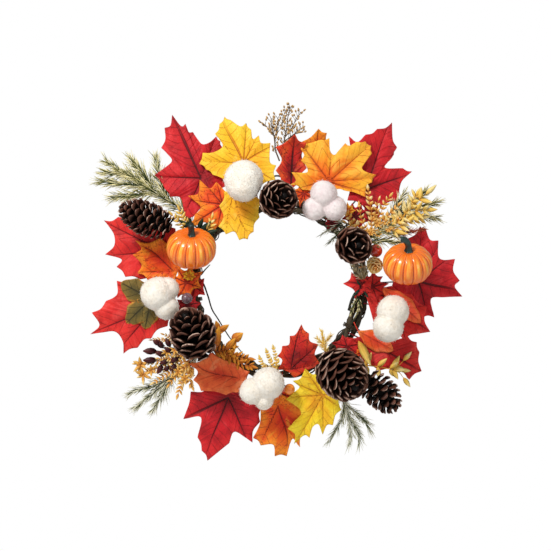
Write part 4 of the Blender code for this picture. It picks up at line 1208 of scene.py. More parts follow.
def coil_of_wire(clock):
    """Turns of binding wire side by side round the vines."""
    bunch = Bunch()
    middle = math.radians(clock)
    for turn in range(3):
        a = middle + (turn - 1) * BINDING_GAP / RING_RADIUS
        path = []
        for i in range(48):
            t = math.tau * i / 48
            r = TIE_RADIUS - 0.0002 + 0.0001 * math.sin(t * 3 + turn)
            path.append(ring_point(a + 0.003 * math.sin(t), r * math.cos(t), r * math.sin(t)))
        bunch.add(*tube_shape(path, BINDING_RADIUS, 10, closed=True))
    return bunch


# ---- The wreath, back to front ----
for strand in range(3):
    vine(strand)
tendril(
    "loose_tendril",
    [
        (-99, 18, 10), (-89, 6, 6), (-83, -9, -3), (-78, -25, -7), (-70, -38, -8), (-59, -56, -6),
        (-50, -68, 2), (-41, -79, 10)
    ],
    0.0011, "loose_vine",
)
tendril("tendril_1", [(-65, 76, 4), (-71, 67, -6), (-79, 58, -10), (-88, 50, -6), (-95, 36, 0)], 0.0013)
tendril("tendril_2", [(-91, 16, -4), (-86, 22, -9), (-80, 28, -10)], 0.0010)
tendril(
    "tendril_3", [(98, 20, 6), (104, 0, -7), (100, -22, -10), (90, -42, -6), (76, -58, -3), (62, -70, -2)],
    0.0021, thin=0.6,
)
tendril(
    "tendril_4",
    [(110, 6, 0), (99, -10, -10), (101, -30, -11), (92, -48, -9), (80, -56, -6), (66, -66, -4)], 0.0016,
    thin=0.5,
)
tendril("tendril_5", [(94, -6, -8), (89, -16, -10), (86, -27, -9)], 0.0019, thin=0.9)
tendril("tendril_6", [(98, -8, -9), (94, -17, -11), (91, -25, -11)], 0.0016, thin=0.9)
for number, clock in enumerate((118, 262)):
    node = f"binding_wire_{number + 1}"
    settle(coil_of_wire(clock).piece(f"binding_coil_{number + 1}", "sprig"), "paper", "wire", node)

# The hanger: a collar round the vines, a coil across its back, and the loop that turns in the coil.
EYE_Y, EYE_BORE, EYE_LENGTH = 0.012837, 0.00145, 0.009
LOOP_HEIGHT, LOOP_HALF_WIDTH, LOOP_WIRE_RADIUS = 0.034, 0.011, 0.0011
eye = coil_of_wire(0)
eye_wire, eye_turns = 0.00048, 9
for turn in range(eye_turns):
    across = -EYE_LENGTH / 2 + EYE_LENGTH * (turn + 0.5) / eye_turns
    path = []
    for i in range(20):
        t = math.tau * i / 20
        r = EYE_BORE + eye_wire
        path.append(RING + Vector((across, EYE_Y + r * math.cos(t), RING_RADIUS + r * math.sin(t))))
    eye.add(*tube_shape(path, eye_wire, 8, closed=True))
settle(eye.piece("hanger_coil", "sprig"), "wire", "wire", "hanger_eye")
corner = LOOP_HALF_WIDTH * 0.25
foot, top = LOOP_HALF_WIDTH - corner, LOOP_HEIGHT - LOOP_HALF_WIDTH
bends = [math.radians(b) for b in (22, 45, 68, 90)]
right = [(foot + corner * math.sin(b), corner - corner * math.cos(b)) for b in bends]
right += [(LOOP_HALF_WIDTH, corner + (top - corner) * k / 5) for k in range(1, 5)]
turns = [math.pi * k / 20 for k in range(21)]
arch = [(LOOP_HALF_WIDTH * math.cos(a), top + LOOP_HALF_WIDTH * math.sin(a)) for a in turns]
outline = [(k * foot / 4, 0) for k in range(-4, 5)] + right + arch + [(-x, z) for x, z in reversed(right)]
loop = Bunch()
path = [RING + Vector((x, EYE_Y, RING_RADIUS + z)) for x, z in outline]
loop.add(*tube_shape(path, LOOP_WIRE_RADIUS, 12, closed=True))
settle(loop.piece("hanging_wire", "sprig"), "wire", "wire", "hanging_loop", body="loop")

for row in BROAD_LEAVES:
    broad_leaf(*row, row[0])

# Pine sprigs.
PINE_1 = [
    [(-98, 74, -1), (-113, 93, -1), (-140, 110, 0), (-163, 127, 1), (-185, 138, 1), (-202, 150, 0)],
    [(-150, 118, 0), (-176, 124, 1), (-196, 126, 0), (-210, 128, 0)],
    [(-146, 114, 0), (-166, 112, 0), (-182, 111, 0), (-194, 109, 0)],
    [(-146, 113, 0), (-156, 131, 0), (-166, 143, 0), (-173, 152, 0)],
    [(-130, 105, -1), (-138, 122, -1), (-142, 138, -1), (-145, 152, -1)],
    [(-158, 123, 0), (-176, 136, 1), (-190, 137, 0), (-205, 139, 0)],
]
pine_sprig(
    "pine_branch_1", "pine", 0, 307.4, PINE_1, 0.022, 8, 11, spread=32, flat=0.2, nodes=["pine_sprig_1"],
)
PINE_2 = [
    [(-86, -71, 0), (-107, -94, 0), (-129, -109, 1), (-148, -126, 0), (-167, -141, 0)],
    [(-126, -106, 1), (-134, -122, 1), (-141, -134, 0), (-147, -144, 0)],
    [(-130, -110, 1), (-150, -118, 1), (-166, -122, 0), (-174, -126, 0)],
]
pine_sprig("pine_branch_2", "frosted pine", 0, 231.2, PINE_2, 0.018, 8, 12, spread=28, nodes=["pine_sprig_2"])
PINE_3 = [
    [(72, -116, 0), (80, -134, 0), (80, -150, 1), (72, -168, 0), (64, -180, 0)],
    [(80, -138, 1), (86, -156, 1), (88, -172, 0), (87, -184, 0)],
    [(81, -138, 1), (94, -150, 1), (104, -158, 0), (110, -168, 0)],
    [(80, -146, 1), (92, -164, 1), (98, -176, 0), (98, -184, 0)],
]
pine_sprig(
    "pine_branch_3", "pale pine", 0, 150.5, PINE_3, 0.017, 6, 13, spread=24, thick=0.0005,
    nodes=["pine_sprig_3"],
)
PINE_4 = [
    [(118, 66, 0), (134, 82, 0), (156, 92, 2), (176, 98, 2), (190, 102, 0)],
    [(140, 84, 1), (156, 100, 2), (168, 108, 1), (176, 114, 0)],
    [(136, 84, 1), (144, 100, 2), (150, 110, 0)],
    [(150, 88, 1), (172, 86, 1), (188, 84, 0)],
]
pine_sprig("pine_branch_4", "pine", 0, 60.4, PINE_4, 0.019, 7, 14, spread=34, nodes=["pine_sprig_4"])

# Twigs with tiny buds at the top.
rng, twigs = new_sprig(21, (8, 158), 4.7, 0)
TWIGS = [
    ([(3, 152, 0), (-2, 166, 2), (-3, 180, 3), (-9, 190, 3), (-16, 197, 2)], 0.8),
    ([(-2, 168, 2), (-4, 184, 4), (-7, 196, 4), (-7, 203, 3)], 0.6),
    ([(-3, 176, 3), (1, 188, 4), (1, 198, 5), (1, 203, 4)], 0.6),
    ([(8, 158, 0), (9, 178, 2), (12, 192, 3), (13, 204, 3), (16, 217, 1)], 0.9),
    ([(9, 180, 2), (18, 192, 4), (23, 203, 4), (28, 210, 2)], 0.6),
    ([(9, 176, 2), (19, 183, 5), (26, 189, 5), (31, 193, 3)], 0.6),
    ([(11, 186, 3), (6, 194, 0), (7, 203, -1), (10, 212, -1)], 0.5),
    ([(9, 172, 2), (16, 180, 7), (22, 184, 9), (30, 186, 8)], 0.5),
]
for points, thick in TWIGS:
    path = bend_through([spot(x, z, 0, lift) for x, z, lift in points], 0.0025)
    stalk(twigs, path, thick * 0.0013)
    for k in range(3, len(path)):
        for hand in (-1, 1):
            if rng.random() < 0.75:
                way = path[k] - path[k - 1]
                way = way / np.linalg.norm(way) + np.array(
                    (hand * rng.uniform(0.5, 1.0), rng.uniform(-0.6, 0.4), 0.1)
                )
                way /= np.linalg.norm(way)
                length = rng.uniform(0.003, 0.006)
                end = path[k] + way * length
                stalk(
                    twigs,
                    np.array([path[k], path[k] + way * length * 0.5 + np.array((0, 0, 0.0006)), end]),
                    0.0005,
                )
                bud(
                    twigs, end, way + np.array((0, 0, 0.4)), rng.uniform(0.0030, 0.0046), 0.0023,
                    rng.random(), 0.5,
                )
settle(twigs.piece("budding_twigs", "sprig"), "twig", "gold", "twig_spray")

# Boxwood: thin stalks of small paired leaves.
rng, box_wood = new_sprig(31, (112, 68), 56.9, 3)
BOXWOOD = [
    ([(112, 68, 0), (113, 84, 2), (111, 102, 3), (109, 116, 2)], 8.5, 4.6, 6.2, 52),
    ([(116, 70, 0), (122, 86, 2), (128, 99, 3), (134, 108, 1)], 8.5, 3.8, 6.2, 48),
    ([(108, 68, 0), (102, 80, 2), (99, 90, 3), (98, 98, 2)], 6.5, 3.0, 6.0, 46),
    ([(120, 72, 0), (130, 84, 3), (138, 92, 3), (144, 98, 2)], 8.5, 4.2, 6.2, 52),
    ([(104, 66, 0), (94, 76, 2), (86, 84, 3), (82, 92, 2)], 8.0, 4.8, 6.4, 52),
    ([(106, 64, 0), (96, 70, 3), (88, 74, 4), (82, 78, 2)], 6.0, 2.8, 6.0, 52),
    ([(112, 76, 2), (118, 90, 5), (119, 98, 5), (121, 104, 4)], 7.0, 3.0, 6.0, 50),
    ([(124, 66, 2), (134, 76, 4), (143, 80, 5), (150, 82, 3)], 8.0, 3.6, 6.2, 52),
]
leafy_stalks(box_wood, rng, BOXWOOD, 3, thick=0.0006, curl=0.15)
for _ in range(15):
    x, z = rng.uniform(106, 134), rng.uniform(63, 78)
    middle = spot(x, z, 3, rng.uniform(3, 7))
    stalk(box_wood, np.array([spot(x * 0.9 + 11, z - 4, 3, 0), middle - FRONT * MM, middle]), 0.0005)
    for k in range(5):
        a = math.tau * (k + rng.uniform(-0.2, 0.2)) / 5
        way = np.array((math.sin(a), rng.uniform(-0.5, 0.1), math.cos(a)))
        leaflet(
            box_wood, middle, way, FRONT, rng.uniform(0.0042, 0.0064), 0.0024, 0.2,
            0.05 + 0.3 * rng.random(),
        )
settle(box_wood.piece("boxwood_stalks", "sprig"), "gold", "gold", "boxwood_sprig")

# Pale gold leaves over the upper right pine.
rng, gold = new_sprig(41, (130, 60), 63.6, 1)
GOLD_1 = [
    ([(132, 64, 0), (143, 78, 4), (156, 90, 6), (168, 103, 5), (178, 112, 2)], 19.0, 6.8, 12.0, 58),
    ([(136, 68, 2), (146, 72, 6), (154, 78, 7)], 14.0, 5.6, 10.0, 56),
    ([(154, 88, 6), (168, 92, 8), (178, 93, 6)], 15.0, 6.2, 9.0, 56),
    ([(140, 74, 4), (152, 88, 8), (160, 100, 8), (166, 110, 5)], 13.0, 5.4, 8.0, 62),
    ([(146, 78, 2), (160, 82, 4), (172, 84, 3)], 12.0, 5.0, 8.0, 58),
]
leafy_stalks(gold, rng, GOLD_1, 3, thick=0.0008, curl=0.12, tilt=0.35, bare=0.1)
settle(gold.piece("gold_leaves_1", "sprig"), "pale gold", "gold", "gold_sprig_1")

# Mottled gold leaves by the lower right boll.
rng, gold = new_sprig(42, (108, -92), 130.2, 1)
leaflet(
    gold, spot(97, -63, 3, 1), spot(111, -92, 3, 3) - spot(97, -63, 3, 1), FRONT + np.array((0.3, 0, 0)),
    0.034, 0.0105, 0.05, 0.3,
)
leaflet(
    gold, spot(108, -96, 3, 1), spot(84, -76, 3, 1) - spot(108, -96, 3, 1), FRONT, 0.022, 0.007, 0.05, 0.6,
)
GOLD_2 = [
    ([(104, -92, 2), (120, -94, 4), (136, -97, 4), (146, -98, 2)], 15.0, 6.4, 13.0, 62),
    ([(138, -97, 4), (146, -92, 4), (151, -87, 3)], 15.0, 6.6, 20.0, 30),
    ([(138, -97, 4), (146, -101, 4), (151, -107, 3)], 15.0, 6.8, 20.0, 30),
]
leafy_stalks(gold, rng, GOLD_2, 1, thick=0.0009, curl=0.1, tilt=0.3, bare=0.05)
settle(gold.piece("gold_leaves_2", "sprig"), "pale gold", "gold", "gold_sprig_2")

# Gold ferns and star flowers at the lower left.
rng, gold = new_sprig(43, (-96, -80), 228, 1)
GOLD_3 = [
    ([(-96, -80, 0), (-118, -80, 3), (-136, -78, 4), (-148, -76, 2)], 6.5, 2.6, 3.6, 50),
    ([(-100, -84, 0), (-122, -92, 3), (-142, -96, 4), (-158, -100, 2)], 8.0, 3.2, 4.0, 52),
    ([(-104, -88, 0), (-124, -88, 3), (-146, -88, 4), (-166, -90, 2)], 8.0, 3.2, 4.4, 48),
    ([(-100, -92, 0), (-108, -104, 2), (-114, -114, 2), (-118, -126, 1)], 8.5, 3.8, 4.4, 44),
    ([(-100, -92, 0), (-104, -102, 2), (-104, -110, 2), (-102, -116, 1)], 8.5, 3.8, 4.6, 44),
    ([(-106, -72, 0), (-122, -66, 2), (-136, -62, 2), (-148, -62, 1)], 6.0, 2.0, 3.0, 44),
    ([(-104, -70, 0), (-114, -64, 3), (-124, -60, 3), (-134, -56, 2)], 6.0, 2.4, 3.0, 48),
    ([(-110, -84, 0), (-126, -84, 4), (-140, -84, 5)], 7.0, 3.0, 3.4, 52),
    ([(-104, -92, 0), (-122, -98, 3), (-134, -104, 3), (-146, -112, 2)], 8.0, 3.2, 4.0, 50),
    ([(-100, -88, 0), (-112, -96, 3), (-122, -106, 3), (-128, -114, 2)], 8.0, 3.2, 4.0, 50),
]
leafy_stalks(gold, rng, GOLD_3, 2, thick=0.0007, curl=0.15)
for x, z, size in (
    (-163, -92, 13), (-160, -104, 12), (-150, -98, 10), (-132, -76, 8), (-122, -74, 8), (-110, -108, 10),
    (-118, -100, 9),
):
    middle = spot(x, z, 2, 5)
    stalk(gold, np.array([spot(x + 12, z + 4, 2, 1), spot(x + 5, z + 2, 2, 3), middle]), 0.0007)
    for k in range(6):
        a = math.tau * (k + rng.uniform(-0.25, 0.25)) / 6
        way = np.array((math.sin(a), rng.uniform(-0.5, 0.2), math.cos(a)))
        leaflet(
            gold, middle, way, FRONT, size * rng.uniform(0.7, 1.1) * MM, size * 0.00032, 0.2,
            rng.random() * 0.7,
        )
settle(gold.piece("gold_ferns", "sprig"), "gold", "gold", "gold_sprig_3")

# Burgundy buds.
rng, buds = new_sprig(51, (-106, -78), 236.7, 2)
for points in (
    [(-106, -78, 0), (-124, -77, 3), (-138, -78, 4), (-146, -77, 3)],
    [(-106, -80, 0), (-124, -84, 3), (-138, -86, 4), (-147, -86, 3)],
):
    stalk(buds, bend_through([spot(x, z, 2, lift) for x, z, lift in points], 0.003), 0.0011, 0.7)
for x, z, dx, dz, size, width in (
    (-143, -75, -12, 0, 17, 8.5), (-143, -86, -12, 0, 17, 8.5), (-137, -91, -4, -8, 13, 7),
    (-135, -72, -6, 7, 14, 7.5),
    (-127, -71, -4, 8, 13, 6.5), (-119, -70, 4, 8, 12, 6.5), (-129, -86, -8, -3, 12, 6.6),
    (-117, -83, -8, -4, 13, 7),
    (-112, -68, -3, 8, 12, 6.5), (-133, -80, -10, 3, 13, 7), (-124, -78, -8, 6, 13, 7),
    (-139, -68, -8, 5, 11, 6),
    (-120, -90, -6, -7, 12, 6.5), (-128, -93, -7, -6, 11, 6),
):
    root = spot(x, z, 2, 4)
    stalk(buds, np.array([spot(x + 5, z - 1, 2, 2), root]), 0.0008, 0.8)
    bud(buds, root, np.array((dx, rng.uniform(-3, 1), dz)), size * MM, width * MM, rng.random())
settle(buds.piece("burgundy_buds", "sprig"), "burgundy", "burgundy", "burgundy_sprig")

# Curled gold-orange leaves on the inner lower left.
rng, curled = new_sprig(61, (-66, -74), 221, 2)
CURLED = [
    (-73, -72, -69, -46, 28, 10.0), (-70, -52, -56, -42, 16, 8.0), (-69, -50, -73, -37, 13, 7.0),
    (-62, -74, -48, -58, 20, 8.5), (-54, -63, -38, -52, 17, 12.0), (-52, -62, -50, -73, 12, 8.0),
    (-76, -70, -78, -58, 14, 7.0),
]
for x, z, tx, tz, length, width in CURLED:
    root, tip = spot(x, z, 3, 1), spot(tx, tz, 3, 4)
    leaflet(
        curled, root, tip - root, FRONT + np.array((rng.uniform(-0.5, 0.5), 0, 0)), length * MM,
        width * MM, 0.2, rng.random() * 0.6,
    )
for points, size in (
    ([(-74, -76, 0), (-64, -74, 3), (-56, -72, 3)], 11), ([(-66, -78, 0), (-50, -82, 3), (-36, -84, 2)], 11),
    ([(-60, -82, 0), (-46, -89, 3), (-32, -93, 2)], 10), ([(-78, -66, 0), (-75, -58, 3), (-70, -52, 3)], 9),
):
    leafy_stalk(
        curled, rng, points, 2, size, size * 0.46, 5.0, 58, thick=0.0008, curl=0.25, tilt=0.8, bare=0.0,
    )
settle(curled.piece("curled_leaves", "sprig"), "rust", "orange", "orange_sprig")


def lance(name, base, heading, length, width, layer, seat, bow, fold=0.25):
    """A narrow pointed leaf that arches along its length."""
    a = math.radians(heading)
    way, across = np.array((math.sin(a), math.cos(a))), np.array((math.cos(a), -math.sin(a)))
    start = np.array(plan(*base))
    stations, wide = 26, 9
    points, carried, faces = [], [], []
    for k in range(stations + 1):
        t = k / stations
        half = width / 2 * (math.sin(math.pi * t) ** 0.75) * (
            1.0 + 0.25 * math.sin(math.pi * t * 0.9)
        ) + 0.0002
        for i in range(wide):
            s = (i / (wide - 1)) * 2 - 1
            uneven = 0.0006 * math.sin(t * 21 + s) * abs(s)
            x, z = start + way * t * length + across * (s * half + uneven)
            rise = bow * math.sin(math.pi * t) - abs(s) * half * fold + 0.0004 * math.sin(t * 30) * abs(s)
            points.append((x, float(depth(x, z, layer)) - rise, z))
            carried.append((abs(s) * half * 1000, t * length * 1000, max(abs(s), 2 * abs(t - 0.5))))
    for k in range(stations):
        for i in range(wide - 1):
            b = k * wide + i
            faces.append((b, b + 1, b + wide + 1, b + wide))
    points = np.array(points) + CENTRE
    blade = mesh_piece(name, points, faces, leaf=carried)
    if blade.data.polygons[wide].normal.y > 0:
        blade.data.flip_normals()
    apply(blade, "SOLIDIFY", thickness=LEAF_THICKNESS, offset=-1)
    petiole(blade, tuple(start), seat, layer)
    return blade


blade = lance("lance_leaf_1", (90, 1.25), 132, 0.062, 0.020, 3, 94.7, 0.003)
settle(blade, "glossy scarlet", "red", "lance_leaf_1")
blade = lance("lance_leaf_2", (118, 1.09), 119, 0.048, 0.019, 1, 114.1, 0.003)
settle(blade, "glossy orange", "orange", "lance_leaf_2")

# Three olive leaves under the left boll.
olive = join(*(
    lance("olive", (265, 1.49), heading, length, length * 0.54, 3, 267, 0.0022, 0.06)
    for heading, length in ((298, 0.042), (226, 0.042), (192, 0.037))
))
olive.name = olive.data.name = "olive_leaf_trio"
settle(olive, "olive", "olive", "olive_leaves")


def decoration_wire(piece, centre, seat, layer, key):
    """Adds a decoration's wire, from its middle back to its layer and along that to the vines."""
    lead = [Vector(centre) + RING] + wire_path((centre[0], centre[2]), seat, layer)
    points, faces, carried = tube_shape(np.array(lead), STEM_RADIUS, 6, carry=lambda a, k: (0.02, 0.2, 0.0))
    return join(piece, mesh_piece("wire", points, faces, **{key: carried}))


# Name, centre, heading and lean of the tip in degrees, length, radius, number of scales, how far they
# open, how far they close, their width and the thickness of their ends, and the layer that it sits on.
CONES = (
    ("pinecone_1", (0.0018, -0.0561, 0.1050), 60, 62, 0.044, 0.0230, 56, 1.0, 0.0, 1.05, 1.0, 4),
    ("pinecone_2", (0.0910, -0.0543, 0.0504), 85, 66, 0.038, 0.0222, 38, 1.05, 0.0, 1.3, 1.0, 4),
    ("pinecone_6", (-0.1570, -0.0426, 0.0835), 293, 12, 0.073, 0.0214, 88, 1.08, 0.0, 0.92, 1.3, 3),
    ("pinecone_5", (-0.0999, -0.0615, -0.0525), 338, 36, 0.068, 0.0272, 60, 1.05, 0.0, 1.15, 1.1, 4),
    ("pinecone_4", (0.1243, -0.0377, -0.1250), 135, 14, 0.061, 0.0208, 60, 1.12, 0.0, 0.85, 1.8, 2),
    ("pinecone_3", (0.0778, -0.0642, -0.1025), 135, 44, 0.068, 0.0298, 76, 1.02, 0.02, 1.1, 1.1, 4),
)
for name, centre, *form, layer in CONES:
    cone = pinecone(name, centre, *form, seed=ord(name[-1]))
    clock = math.degrees(math.atan2(centre[0], centre[2]))
    settle(decoration_wire(cone, centre, clock, layer, "scale"), "cone", "cone", name)

# Name, centre, finish, and each tuft's place right, up and forward of the centre, with its radius.
BOLLS = (
    (
        "cotton_boll_1", (-0.0396, -0.0484, 0.1270), "cream",
        ((0, 0.0015, 0, 0.0238), (-0.0005, -0.004, 0.002, 0.0215)),
    ),
    (
        "cotton_boll_2", (0.0554, -0.0369, 0.1030), "blush",
        ((0, 0.009, 0.003, 0.0165), (-0.011, -0.009, 0, 0.0145), (0.013, -0.008, 0, 0.0150)),
    ),
    (
        "cotton_boll_3", (0.1346, -0.0437, -0.0361), "cream",
        ((0.003, 0.009, 0, 0.0195), (-0.003, -0.010, 0.002, 0.0188)),
    ),
    (
        "cotton_boll_4", (-0.0166, -0.0430, -0.1180), "cream",
        ((0.006, 0.005, 0.002, 0.0200), (-0.012, -0.004, 0, 0.0165), (0.001, -0.015, -0.001, 0.0120)),
    ),
    (
        "cotton_boll_5", (-0.1380, -0.0426, -0.0097), "cream",
        ((-0.004, 0.003, 0.002, 0.0205), (0.008, 0.009, -0.001, 0.0145), (0.007, -0.013, 0, 0.0155)),
    ),
)
for number, (name, centre, look, lobes) in enumerate(BOLLS):
    cotton_boll(name, centre, lobes, look, number + 1)

pumpkin("pumpkin_left", (-0.1010, -0.0548, 0.0471), 2, 30, 0.015, 0.0015)
pumpkin("pumpkin_right", (0.1549, -0.0502, 0.0287), 2, 32, 0.023, 0.010)


def berry(name, look, centre, radius, tall, crown, seat=None, nodes=()):
    """A round fruit with a dimple and a dry crown, on a short wire."""
    bunch = Bunch()
    middle = np.array(centre) + CENTRE
    axis = np.array((0.25, -0.75, 0.6))
    axis /= np.linalg.norm(axis)
    side, up = frame_along(axis)
    sides, rows = 24, 14
    points, carried = [], []
    for row in range(rows + 1):
        a = math.pi * row / rows
        r = radius * math.sin(a)
        dimple = 0.25 * radius * math.exp(-((r / radius / 0.3) ** 2)) if row > rows / 2 else 0
        h = -radius * tall * math.cos(a) - dimple
        for i in range(sides if 0 < row < rows else 1):
            t = math.tau * i / sides
            points.append(middle + axis * h + (side * math.cos(t) + up * math.sin(t)) * r)
            carried.append((row / rows, 0.3, 0.5))
    bunch.add(points, turned(rows, sides), carried)
    settle(bunch.piece(name, "sprig"), look, "berry", *nodes)
    dry = Bunch()
    for k in range(crown):
        t = math.tau * k / max(1, crown)
        way = axis * 0.5 + (side * math.cos(t) + up * math.sin(t)) * 0.7
        leaflet(dry, middle + axis * radius * tall * 0.78, way, axis, radius * 0.55, radius * 0.22, 0.3, 0.5)
    clock = math.degrees(math.atan2(centre[0], centre[2])) if seat is None else seat
    lead = [Vector(middle)] + wire_path((centre[0], centre[2]), clock, 3)
    dry.add(*tube_shape(np.array(lead), STEM_RADIUS, 6, carry=lambda a, k: (0.05, 0.3, 1.0)))
    settle(dry.piece(name + "_crown", "sprig"), "twig", "vine")


berry("red_berry", "red berry", (0.1178, -0.0345, 0.0440), 0.0074, 1.15, 5, nodes=["red_berry"])
berry(
    "orange_berry", "orange berry", (0.0148, -0.0313, -0.1203), 0.0066, 1.0, 0, seat=192,
    nodes=["orange_berry"],
)


# ---- Small pieces tucked between the larger ones ----
MAPLE = (
    (0, 21), (5, 12), (12, 13), (13, 5), (21, 2), (12, -4), (11, -12), (3, -9), (-3, -13), (-9, -8),
    (-16, -9), (-13, -1), (-20, 4), (-12, 8), (-10, 15), (-4, 11),
)


def tucked_leaf(name, look, slot, x, z, size, turn, layer, fold=0.08, curl=2.5):
    a = math.radians(turn)
    outline = tuple(
        (
            (px * math.cos(a) + pz * math.sin(a)) * size, (pz * math.cos(a) - px * math.sin(a)) * size,
        ) for px, pz in MAPLE
    )
    clock = math.degrees(math.atan2(x, z)) % 360
    broad_leaf(
        name, slot, look, clock, math.hypot(x, z) * MM / RING_RADIUS, layer, clock, fold, curl, outline,
    )


for row in (
    ("tucked_leaf_1", "ruby", "red", 94, 85, 0.95, 20, 2),
    ("tucked_leaf_2", "flame", "red", -108, 6, 1.15, -30, 2),
    ("tucked_leaf_3", "golden", "yellow", -105, 14, 0.42, 10, 3),
    ("tucked_leaf_4", "scarlet", "red", 114, 2, 0.95, 80, 2),
    ("tucked_leaf_5", "scarlet", "red", 84, -70, 0.95, 200, 1),
    ("tucked_leaf_6", "amber", "orange", 84, 92, 0.5, 0, 3),
    ("tucked_leaf_7", "flame", "orange", 100, -78, 0.5, 120, 2),
    ("tucked_leaf_8", "ruby", "red", 90, 52, 0.6, 60, 1),
    ("tucked_leaf_9", "ruby", "red", -107, -20, 0.85, 160, 1),
    ("tucked_leaf_10", "flame", "orange", -28, 128, 0.6, 20, 1),
    ("tucked_leaf_11", "flame", "orange", 32, 113, 0.75, 200, 1),
    ("tucked_leaf_12", "ruby", "red", 112, 88, 0.7, 40, 1),
    ("tucked_leaf_13", "ruby", "red", 66, 78, 0.5, 220, 1),
    ("tucked_leaf_14", "flame", "orange", 8, -128, 0.8, 175, 2),
):
    tucked_leaf(*row)

TRAILING = [
    [(96, 72, 1), (80, 78, 2), (64, 84, 1), (54, 86, 0)],
    [(78, 78, 1), (66, 72, 1), (56, 66, 0)],
    [(84, 77, 1), (74, 66, 2), (64, 56, 0)],
    [(90, 74, 1), (84, 66, 2), (76, 60, 0)],
]
pine_sprig("trailing_needles", "frosted pine", 2, 48, TRAILING, 0.012, 3, 15, spread=26)
INNER = [
    [(106, 60, 2), (122, 66, 4), (142, 62, 4)],
    [(108, 56, 2), (128, 56, 4), (144, 54, 3)],
    [(110, 62, 2), (130, 74, 4), (152, 72, 3)],
]
pine_sprig("inner_needles", "pine", 3, 62, INNER, 0.014, 7, 16, spread=30)
pine_sprig(
    "rust_needles", "rust needles", 3, 66, [[(140, 62, 2), (156, 66, 4), (172, 70, 3)]], 0.011, 7, 17,
    spread=30,
)
DRY = [
    [(104, 12, 1), (102, 24, 3), (98, 36, 2)],
    [(104, 12, 1), (108, 26, 3), (110, 38, 2)],
    [(102, 10, 1), (94, 20, 3), (90, 28, 2)],
]
pine_sprig("dry_needles", "dry", 3, 80, DRY, 0.010, 5, 18, spread=34)
DROOPING = [
    [(96, -10, 1), (92, -18, 2), (89, -28, 2)],
    [(98, -12, 1), (98, -20, 2), (95, -30, 2)],
]
pine_sprig("dark_stubs", "pine", 2, 96, DROOPING, 0.008, 5, 19, spread=22)
pine_sprig(
    "gold_fir_tip", "pale gold", 3, 138,
    [[(60, -84, 1), (57, -70, 3), (54, -54, 3)], [(57, -70, 3), (50, -62, 3)],
    [(57, -66, 3), (63, -58, 3)]], 0.008, 9, 20, slot="gold", spread=38,
)

rng, sprays = new_sprig(71, (4, -104), 178, 3)
for points in (
    [(4, -106, 1), (-2, -96, 3), (-8, -86, 4), (-12, -76, 4)],
    [(2, -104, 1), (-6, -98, 4), (-16, -92, 5), (-20, -84, 4)],
    [(2, -102, 1), (0, -90, 3), (-2, -80, 4), (-4, -72, 4)],
):
    leafy_stalk(sprays, rng, points, 3, 5.4, 3.2, 3.0, 54, thick=0.0006, bare=0.3, curl=0.2)
rooted(sprays, (-112, 78), 305, 3)
for points in (
    [(-106, 70, 1), (-116, 78, 3), (-124, 86, 4)], [(-104, 72, 1), (-112, 82, 3), (-116, 92, 4)],
    [(-84, 66, 1), (-80, 74, 3), (-78, 82, 3)],
):
    leafy_stalk(sprays, rng, points, 3, 9.0, 3.6, 4.0, 46, thick=0.0006, bare=0.2, curl=0.2)
settle(sprays.piece("dry_flowers", "sprig"), "pale gold", "gold")

greens = Bunch()
for x, z, tx, tz, width in (
    (-98, 68, -118, 82, 7), (-100, 70, -108, 86, 6), (-92, 66, -78, 80, 8), (-94, 70, -88, 84, 6),
    (-88, 62, -70, 70, 7),
    (98, -2, 90, -11, 3.5), (104, -4, 109, -12, 3.5), (100, 2, 94, 11, 3),
):
    root, tip = spot(x, z, 3, 1), spot(tx, tz, 3, 3)
    leaflet(
        greens, root, tip - root, FRONT, float(np.linalg.norm(tip - root)), width * MM, 0.15,
        rng.random(),
    )
    stalk(greens, np.array([spot(x * 0.97, z * 0.97, 1, 0), spot(x * 0.985, z * 0.985, 2, 0), root]), 0.0007)
rooted(greens, (-96, 66), 305, 2)
rooted(greens, (100, 0), 90, 2)
settle(greens.piece("dark_leaves", "sprig"), "dark green", "pine")


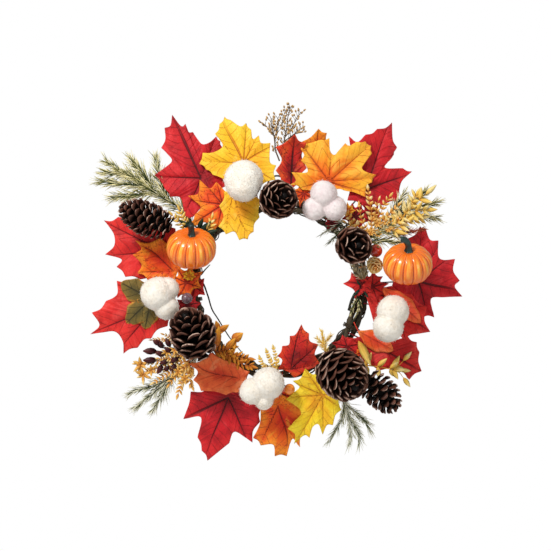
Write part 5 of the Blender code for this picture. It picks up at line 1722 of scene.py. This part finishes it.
LITTLE_CONE = (0.1160, -0.0400, 0.0270)
little = pinecone(
    "little_gold_cone", LITTLE_CONE, 170, 50, 0.020, 0.0095, 40, 1.0, 0.0, 1.1, 1.2, 9, key="sprig",
)
settle(decoration_wire(little, LITTLE_CONE, 76, 3, "sprig"), "gold", "cone")
berry("dusty_ball", "dusty berry", (-0.1070, -0.0370, -0.0120), 0.0066, 1.0, 0)


# ---- Studio ----
def lamp(name, place, aim, size, power, colour=(1, 1, 1)):
    light = bpy.data.lights.new(name, "AREA")
    light.shape, light.size, light.energy, light.color = "DISK", size, power, colour
    obj = bpy.data.objects.new(name, light)
    bpy.context.scene.collection.objects.link(obj)
    obj.location = place
    obj.rotation_euler = (Vector(aim) - Vector(place)).to_track_quat("-Z", "Y").to_euler()


world = bpy.data.worlds.new("studio")
bpy.context.scene.world = world
world.use_nodes = True
nodes, links = world.node_tree.nodes, world.node_tree.links
paper, glow = nodes["Background"], nodes.new("ShaderNodeBackground")
paper.inputs["Color"].default_value = (1, 1, 1, 1)
glow.inputs["Color"].default_value, glow.inputs["Strength"].default_value = (1, 0.985, 0.96, 1), 0.42
seen, both = nodes.new("ShaderNodeLightPath"), nodes.new("ShaderNodeMixShader")
links.new(seen.outputs["Is Camera Ray"], both.inputs[0])
links.new(glow.outputs[0], both.inputs[1])
links.new(paper.outputs[0], both.inputs[2])
links.new(both.outputs[0], nodes["World Output"].inputs[0])
lamp("key", (-0.9, -1.4, 1.2), RING, 0.5, 37)
lamp("fill", (1.4, -1.8, 0.1), RING, 1.0, 6)

bpy.ops.mesh.primitive_plane_add(size=4, location=(0, 0, -0.78))
floor = bpy.context.object
floor.name = "floor"
floor.data.materials.append(bpy.data.materials.new("pale floor"))
floor.data.materials[0].use_nodes = True
floor.data.materials[0].node_tree.nodes["Principled BSDF"].inputs["Base Color"].default_value = (
    0.85, 0.85, 0.85, 1,
)

camera = bpy.data.objects.new("camera", bpy.data.cameras.new("camera"))
bpy.context.scene.collection.objects.link(camera)
camera.data.lens, camera.data.sensor_width = 200, 36  # millimetres
camera.data.clip_end = 50
camera.location = (-0.0018, -3.685, -0.1189)
camera.rotation_euler = (math.pi / 2, 0, 0)
bpy.context.scene.camera = camera
bpy.context.scene.view_settings.view_transform = "Standard"
